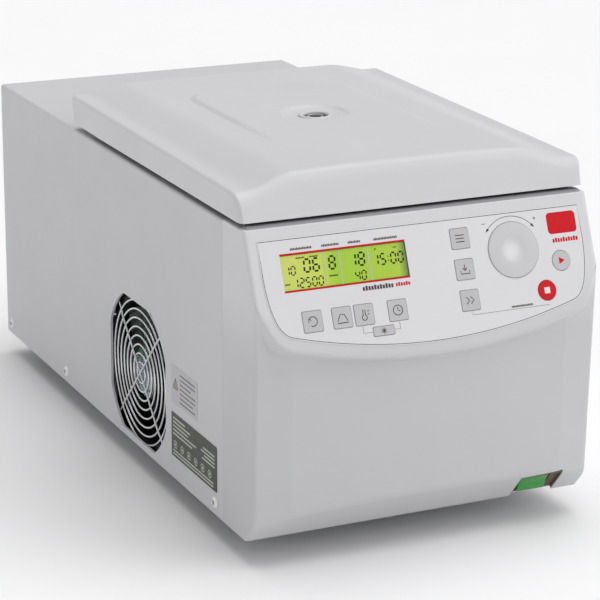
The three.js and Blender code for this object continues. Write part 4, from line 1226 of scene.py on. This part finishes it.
# ---- Console ----
FOIL_TOP = 0.35
PRINT = (FOIL_TOP - 0.02, FOIL_TOP + 0.05)
SQUARE_KEYS = ("key_speed", "key_ramp", "key_temperature", "key_time", "key_setup", "key_store",
               "key_short_spin")
KEY_HALF = 7.5
WIDE_KEY_HALF = (8.4, 3.3)
ROUND_KEY = 7.5
KEY_TOP = 0.75
KEY_FOOT = -3.9
KEY_PRINT = (KEY_TOP - 0.03, KEY_TOP + 0.05)
DIAL_RADIUS = 20.8
ARROW_RADIUS = DIAL_RADIUS + 4.3
# Left, right, lower and upper edge of the display, and the lines that divide it.
DISPLAY = (-115.0, -16.4, -45.2, -20.4)
DIVIDERS = (-81.7, -69.2, -46.3)
# How far the holes for the keys, the dial and the display run through the console sheet.
HOLE = (-5, 5)


def overlay_outline(shrink=0.0):
    side = OVERLAY_SIDE - shrink
    low = -79.5 + shrink
    half = [(side, -8 - shrink), (side, -34)]
    half += quadratic((side, -34), (side - 1, -75), (115 - shrink, low), 14)
    curve = quadratic((115 - shrink, low), (0, -111 + shrink), (-115 + shrink, low), 40)
    other = quadratic((-115 + shrink, low), (-side + 1, -75), (-side, -34), 14)
    return half + curve + other + [(-side, -8 - shrink)]


def make_overlay():
    sheet = slab(overlay_outline(), 0.02, FOIL_TOP, 0, 0.12, place=CONSOLE)
    holes = Solid()
    for name in SQUARE_KEYS + ("key_precool",):
        x, y = console_place(name)
        wide, high = WIDE_KEY_HALF if name == "key_precool" else (KEY_HALF, KEY_HALF)
        hole = rectangle(x - wide - GAP, x + wide + GAP, y - high - GAP, y + high + GAP, 1.3)
        slab(hole, *HOLE, place=CONSOLE, into=holes)
    for name in ("key_start", "key_stop"):
        slab(circle(ROUND_KEY + GAP, 64, *console_place(name)), *HOLE, place=CONSOLE, into=holes)
    slab(circle(DIAL_RADIUS + GAP, 96, *console_place("jog_dial")), *HOLE, place=CONSOLE, into=holes)
    slab(rectangle(DISPLAY[0] - GAP, DISPLAY[1] + GAP, DISPLAY[2] - GAP, DISPLAY[3] + GAP, 0.6), *HOLE,
         place=CONSOLE, into=holes)
    piece("console_sheet", sheet, "housing", [FOIL], ["console_overlay"], [holes])


def make_prints():
    ink = Solid()

    def line(path, width, look, closed=False):
        strip(path, width, *PRINT, look, CONSOLE, ink, closed)

    line(overlay_outline(0.9), 0.4, 0, True)
    left, right, bottom, top = DISPLAY
    for y in (top + 0.9, bottom - 0.9):
        line([(left - 0.4, y), (right + 0.4, y)], 1.2, 1)
    for x, length in ((-98, 17), (-75, 14), (-56, 10), (-31, 19)):
        print_row(ink, x - length / 2, x + length / 2, top + 4.2, 1.8, 3, PRINT, CONSOLE)
    print_row(ink, -55, -30, bottom - 5.2, 3.4, 3, PRINT, CONSOLE)
    print_row(ink, -28.5, -16.5, bottom - 5.2, 2.8, 1, PRINT, CONSOLE)
    px, py = console_place("key_precool")
    for name, way in (("key_temperature", -1), ("key_time", 1)):
        kx, ky = console_place(name)
        foot = (kx + 2.5 * way * (way < 0), ky - KEY_HALF - 0.6)
        line([foot, (foot[0], py), (px + way * (WIDE_KEY_HALF[0] + 0.8), py)], 0.35, 2)
    dx, dy = console_place("jog_dial")
    line(arc(ARROW_RADIUS, 42, 138, dx, dy), 0.4, 0)
    for angle, way in ((42, -1), (138, 1)):
        spot = Vector(arc(ARROW_RADIUS, angle, angle, dx, dy, 1)[0])
        turn = math.radians(angle + way * 90)
        along = Vector((math.cos(turn), math.sin(turn)))
        across = Vector((-along.y, along.x))
        head = [tuple(spot + along * 2.6), tuple(spot + across * 1.1 - along * 0.6),
                tuple(spot - across * 1.1 - along * 0.6)]
        slab(head, *PRINT, look=0, place=CONSOLE, into=ink)
        beside = spot + Vector((-2.8 * way, 4.6))
        for stroke in (Vector((1.3, 0)), Vector((0, 1.3)))[:1 if way > 0 else 2]:
            line([beside - stroke, beside + stroke], 0.45, 0)
    sx, sy = console_place("key_short_spin")
    tx = console_place("key_stop")[0]
    line([(sx, sy - KEY_HALF - 0.6), (sx, sy - KEY_HALF - 3.4), (tx, sy - KEY_HALF - 3.4)], 0.3, 2)
    print_row(ink, dx - 9, dx + 9, sy - KEY_HALF - 1.4, 1.6, 3, PRINT, CONSOLE)
    slab(rectangle(102.5, 127, -28.5, -12.5, 3), *PRINT, look=1, place=CONSOLE, into=ink)
    print_row(ink, 105, 127, -33.2, 3.4, 1, PRINT, CONSOLE)
    piece("console_print", ink, "housing", [INK, RED_INK, FINE_INK, WORD_INK])


SEGMENTS = {
    "0": "abcdef", "1": "bc", "2": "abged", "3": "abgcd", "4": "fgbc", "5": "afgcd", "6": "afgedc",
    "7": "abc", "8": "abcdefg", "9": "abcdfg",
}


# Share of a figure's height that is its strokes' width, and how far the figures lean.
STROKE = 0.155
SEGMENT_LEAN = 0.06


def digit(into, figure, x, y, height, look, depth):
    """Seven-segment figure with its lower left corner at x, y."""
    width, thick, middle_y = height * 0.5, height * STROKE, height / 2
    lines = {
        "a": ((0, height), (width, height)), "g": ((0, middle_y), (width, middle_y)),
        "d": ((0, 0), (width, 0)),
        "f": ((0, middle_y), (0, height)), "b": ((width, middle_y), (width, height)),
        "e": ((0, 0), (0, middle_y)), "c": ((width, 0), (width, middle_y)),
    }
    for name in SEGMENTS[figure]:
        start, end = (Vector(p) for p in lines[name])
        along = (end - start).normalized() * thick * 0.58
        path = [(x + spot.x + SEGMENT_LEAN * spot.y, y + spot.y) for spot in (start + along, end - along)]
        strip(path, thick, *depth, look, CONSOLE, into)


def figures(into, text, x, y, height, look, depth):
    """Row of figures; a colon is two small squares."""
    for mark in text:
        if mark == ":":
            for share in (0.3, 0.7):
                slab(rectangle(x, x + height * 0.1, y + height * share - 0.4, y + height * share + 0.4),
                     *depth, look=look, place=CONSOLE, into=into)
            x += height * 0.32
        else:
            digit(into, mark, x, y, height, look, depth)
            x += height * 0.78


def make_display():
    left, right, bottom, top = DISPLAY
    face = -0.35
    screen = slab(rectangle(left, right, bottom, top, 0.5), -1.3, face, 0, 0.1, place=CONSOLE)
    depth = (face - 0.02, face + 0.05)
    for text, x, y, height in (("06", -97.5, -33.4, 9.0), ("12500", -107.6, -43.9, 6.4),
                               ("10", -112.6, -34.4, 6.0)):
        figures(screen, text, x, y, height, 1, depth)
    print_row(screen, -114, -110, -40.8, 1.2, 1, depth, CONSOLE)
    for x in (-103, -92.5):
        print_row(screen, x, x + 7, -22.8, 1.1, 1, depth, CONSOLE)
    figures(screen, "8", -77.9, -33.4, 9.0, 1, depth)
    print_row(screen, -79, -72, -38.2, 1.2, 1, depth, CONSOLE)
    for text, x, y, height in (("18", -61.6, -33.4, 9.0), ("40", -58.6, -43.8, 6.4),
                               ("15:00", -43.2, -34.8, 7.6)):
        figures(screen, text, x, y, height, 1, depth)
    strip([(-41, -24), (-39.5, -22.6)], 0.6, *depth, 1, CONSOLE, screen)
    strip([(-26, -23.4), (-23, -23.4)], 0.6, *depth, 1, CONSOLE, screen)
    for x in DIVIDERS:
        strip([(x, bottom), (x, top)], 0.7, face - 0.02, face + 0.12, 2, CONSOLE, screen)
    piece("display_screen", screen, "housing", [LCD, LCD_DARK, KEY_GREY], ["display_window"])


def star(count, reach):
    """Strokes through one point, for the cooling key."""
    lines = []
    for k in range(count):
        angle = math.radians(180 / count * k + 30)
        stroke = Vector((math.cos(angle), math.sin(angle))) * reach
        lines.append(([tuple(-stroke), tuple(stroke)], False))
    return lines


# Plain line icons that stand where the keys have their legends: paths, and whether each is closed.
ICONS = {
    "key_speed": [(arc(3.4, 150, -120, 0, 0), False), ([(-3.0, -0.6), (-3.2, 1.9), (-0.9, 1.0)], False)],
    "key_ramp": [([(-4, -2.6), (-1.6, 2.2), (1.6, 2.2), (4, -2.6)], False),
                 ([(-4.4, -3.8), (4.4, -3.8)], False)],
    "key_temperature": [(arc(1.9, 118, 422, 0, -2.2, 20) + [(0.9, 3.2), (-0.9, 3.2)], True),
                        ([(2.6, 2.4), (4.0, 2.4)], False), ([(2.6, 0.2), (4.0, 0.2)], False)],
    "key_time": [(circle(3.6, 28), True), ([(0, 2.3), (0, 0), (1.8, -0.9)], False)],
    "key_setup": [([(-3.6, y), (3.6, y)], False) for y in (2.4, 0, -2.4)],
    "key_store": [([(0, 3.6), (0, -0.8)], False), ([(-1.8, 1.0), (0, -0.9), (1.8, 1.0)], False),
                  ([(-3.6, -0.8), (-3.6, -3.2), (3.6, -3.2), (3.6, -0.8)], False)],
    "key_short_spin": [([(x, -2.6), (x + 2.6, 0), (x, 2.6)], False) for x in (-3.2, 0.4)],
    "key_precool": star(3, 2.2),
}


def make_keys():
    for name in SQUARE_KEYS + ("key_precool",):
        wide, high = WIDE_KEY_HALF if name == "key_precool" else (KEY_HALF, KEY_HALF)
        place = CONSOLE @ at(*console_place(name), 0)
        cap = slab(rectangle(-wide, wide, -high, high, 1.2), KEY_FOOT, KEY_TOP, 0.1, 0.35, place=place)
        for path, closed in ICONS[name]:
            strip(path, 0.65, *KEY_PRINT, 1, place, cap, closed)
        piece(name + "_cap", cap, name, [KEY_GREY, WORD_INK], [name])
    arrow, square = [(-1.9, -2.6), (2.9, 0), (-1.9, 2.6)], rectangle(-2.3, 2.3, -2.3, 2.3, 0.3)
    for name, icon, slot, looks in (("key_start", arrow, "key_plastic", [KEY_GREY, RED_INK]),
                                    ("key_stop", square, "stop_red", [RED, WHITE_INK])):
        place = CONSOLE @ at(*console_place(name), 0)
        cap = slab(circle(ROUND_KEY, 64), KEY_FOOT, KEY_TOP, 0.1, 0.35, place=place)
        slab(icon, *KEY_PRINT, look=1, place=place, into=cap)
        piece(name + "_cap", cap, name, looks, [name])


def make_dial():
    place = CONSOLE @ at(*console_place("jog_dial"), 0)
    radius = DIAL_RADIUS
    face = [(radius - 0.15, -2.6), (radius, -2.4), (radius, 0.5), (radius - 0.2, 0.9), (radius - 0.8, 1.1),
            (12, 1.2), (9.5, 1.1), (7.8, 0.75), (5.5, 0.35), (2.8, 0.15), (0, 0.1)]
    dial = lathe([(0, -8.7), (3, -8.7), (3, -2.6)] + face, 128, place)
    piece("dial_disc", dial, "jog_dial", [DIAL_FACE], ["jog_dial"], crease=50)


# ---- Power switch ----
# Angle in degrees at which the rocker rests.
ROCKER_REST = 7


def make_switch():
    bezel = slab(rectangle(80.4, 116.6, 2, 27, 1), -11, -2.2, 0.3, 0.4, place=CHAMFER)
    window = slab(rectangle(83.2, 108.6, 4.4, 24.8, 0.8), -8.5, 5, place=CHAMFER)
    # Lip round the top and sides of the opening: a dark sheet that paints the shade gap above the rocker.
    slab(rectangle(80.1, 116.9, 2, 27.4, 1.4), -4, -0.5, place=CHAMFER, into=bezel)
    throat = slab(rectangle(81.0, 116.0, -4.8, 25.2, 1), -2.2, 5, place=CHAMFER)
    piece("switch_bezel", bezel, "housing", [SWITCH_FRAME_AND_SHADE], ["power_switch_frame"],
          [window, throat])
    tilt = turned(-math.radians(ROCKER_REST), "X")
    place = CHAMFER @ at(98.5, 14.6, -2.6) @ tilt
    side = rounded([(-6, -4.4), (5.4, -4.4), (7.8, 1.3), (0, 0.6), (-9.4, 2.6)], [0.4, 0.4, 0.9, 6, 0.9], 5)
    rocker = slab(side, -15, 9.5, 0.5, 1.2, place=place @ YZ_PLANE)
    piece("switch_rocker", rocker, "power_switch_rocker", [GREEN], ["power_switch_rocker"])


# ---- Chamber and rotor ----
def make_chamber():
    low, high = box_mm("chamber_bowl")
    floor, rim = low.z + 1.6, high.z
    profile = above(low.z, [(14, 0), (94, 0), (98, 0.8), (101.2, 4), (101.6, 7)])
    profile += above(rim, [(101.6, -1.5), (111.6, -1.5), (112, -1.2), (111.8, -0.6), (110.5, -0.1),
                           (103.5, 0), (101, -0.5), (100.1, -1.8), (100, -4)])
    profile += above(floor, [(100, 7), (99.2, 3.6), (97, 1.2), (94, 0), (60, 0), (58.5, -0.3), (57, 0),
                             (19, 0), (17.4, 0.6), (17, 2.6), (16.4, 3), (14.6, 3), (14, 2.6)])
    bowl = lathe(profile, 160, AT_AXIS)
    piece("chamber_liner", bowl, "housing", [STAINLESS], ["chamber_bowl"], crease=40)


ROTOR_HOLES = 12
TUBE_TILT = math.radians(30)


def make_rotor():
    low, high = box_mm("rotor")
    bore = 8.3
    profile = above(low.z, [(bore, 0), (73, 0), (75, 0.6), (88, 14), (89.6, 17), (90, 20), (90, 30),
                            (89.4, 30.6), (89.4, 32.4), (90, 33)])
    profile += above(high.z, [(90, -9), (89.5, -7), (85, -0.6), (84, 0), (76.8, 0), (75.8, -0.4),
                              (68.4, -6.6), (36.8, -24.9), (35.6, -25.2), (25, -25.2), (24, -24.4),
                              (24, -13.8), (23.2, -13), (bore + 0.8, -13), (bore, -13.8)])
    body = lathe(profile, 144, AT_AXIS)
    holes = Solid()
    for k in range(ROTOR_HOLES):
        turn = turned((k + 0.5) * 2 * math.pi / ROTOR_HOLES)
        tilt = turned(-TUBE_TILT, "Y")
        place = AT_AXIS @ turn @ at(52, 0, 210) @ tilt
        lathe([(0, -42), (4.5, -41.4), (7.6, -39.2), (8.8, -36), (8.8, 14), (0, 14)], 48, place, into=holes)
    piece("angle_rotor", body, "rotor", [MACHINED], ["rotor"], [holes], crease=28)
    low, high = box_mm("rotor_lid")
    profile = above(low.z, [(4.4, 0), (80.6, 0), (82, 0.6), (82, 1.8), (81.2, 2.6), (60, 3), (59.4, 2.7),
                            (58.6, 2.7), (58, 3.1)])
    profile += above(high.z, [(32, -0.5), (30, 0), (18, 0), (17.6, -0.3), (4.4, -0.3)])
    cover = lathe(profile, 144, AT_AXIS)
    piece("rotor_cover", cover, "rotor", [MACHINED], ["rotor_lid"], crease=30)
    low, high = box_mm("motor_shaft")
    profile = above(low.z, [(0, 0), (7.4, 0), (8, 0.6)]) + [(8, 211.4), (7.4, 212.2), (4, 214.5)]
    shaft = lathe(profile + above(high.z, [(4, -0.8), (3.2, 0), (0, 0)]), 64, AT_AXIS)
    piece("drive_shaft", shaft, "rotor", [ZINC], ["motor_shaft"])
    make_knob()


FLUTES = 6
FLUTE_DEPTH = 1.7


def make_knob():
    """Fluted grip; each level is a radius, a height and the share of the flutes' depth."""
    low, high = box_mm("rotor_knob")
    count = 96
    levels = [(17, low.z, 0), (17.0, low.z + 2.0, 0), (16.4, low.z + 2.7, 0), (13.6, low.z + 4.2, 0),
              (13.1, low.z + 5.4, 0.5), (13, low.z + 7, 1), (13, high.z - 3, 1), (12.5, high.z - 1.2, 1),
              (11.2, high.z - 0.3, 0.6), (9.4, high.z, 0), (6, high.z - 0.4, 0)]
    points = []
    for radius, height, flute in levels:
        for k in range(count):
            angle = 2 * math.pi * k / count
            dip = flute * FLUTE_DEPTH * max(0.0, math.cos(FLUTES * angle)) ** 2
            points.append(((radius - dip) * math.cos(angle), (radius - dip) * math.sin(angle), height))
    shape = len(levels), count
    knob = Solid().add(points, ring_faces(*shape) + end_caps(*shape), 0, AT_AXIS)
    hollow = slab(circle(4.3, 48, AXIS.x, AXIS.y), low.z - 2, 237)
    piece("knob_grip", knob, "rotor_knob", [ANODISED], ["rotor_knob"], [hollow], crease=40)


# ---- Stage ----
WORLD_STRENGTH = 0.42
# Name, direction towards the light, strength, and the angle in degrees that softens its shadows.
LIGHTS = (("overhead", (0.15, 0.1, 1), 1.45, 60), ("key_right", (0.75, -0.5, 0.45), 1.1, 50),
          ("left_fill", (-0.85, 0.2, 0.5), 0.02, 90))


def add_light(name, direction, strength, spread_angle):
    """Soft light from a direction, even over the whole stage."""
    data = bpy.data.lights.new(name, "SUN")
    data.energy = strength
    data.angle = math.radians(spread_angle)
    light = bpy.data.objects.new(name, data)
    bpy.context.scene.collection.objects.link(light)
    light.location = Vector(direction) * 2
    light.rotation_mode = "QUATERNION"
    light.rotation_quaternion = (-Vector(direction)).to_track_quat("-Z", "Y")


def make_stage():
    """Round floor that curves up into a wall far behind the object, white world and three lights."""
    segments, reach, cove, wall = 96, 28000.0, 2000.0, 4400.0
    profile = [(reach - 1000, 0)]
    profile += [(reach + cove * math.sin(math.radians(a)), cove * (1 - math.cos(math.radians(a))))
                for a in range(0, 91, 10)]
    profile.append((reach + cove, wall))
    points = [(x, y, height) for radius, height in profile for x, y in circle(radius, segments)]
    faces = [tuple(range(segments))] + ring_faces(len(profile), segments)
    data = Solid().add(points, faces).mesh("floor")
    data.polygons.foreach_set("use_smooth", [True] * len(data.polygons))
    data.materials.append(FLOOR)
    link("floor", data)
    world = bpy.data.worlds.new("studio")
    world.use_nodes = True
    background = world.node_tree.nodes["Background"]
    background.inputs["Color"].default_value = (1.0, 1.0, 1.0, 1.0)
    background.inputs["Strength"].default_value = WORLD_STRENGTH
    bpy.context.scene.world = world
    for light in LIGHTS:
        add_light(*light)
    bpy.context.scene.view_settings.view_transform = "Standard"


make_camera()
dress_frame()
make_fascia()
make_lid()
make_cabinet()
make_rear()
make_feet()
make_fan()
make_plates()
make_overlay()
make_prints()
make_display()
make_keys()
make_dial()
make_switch()
make_chamber()
make_rotor()
make_stage()
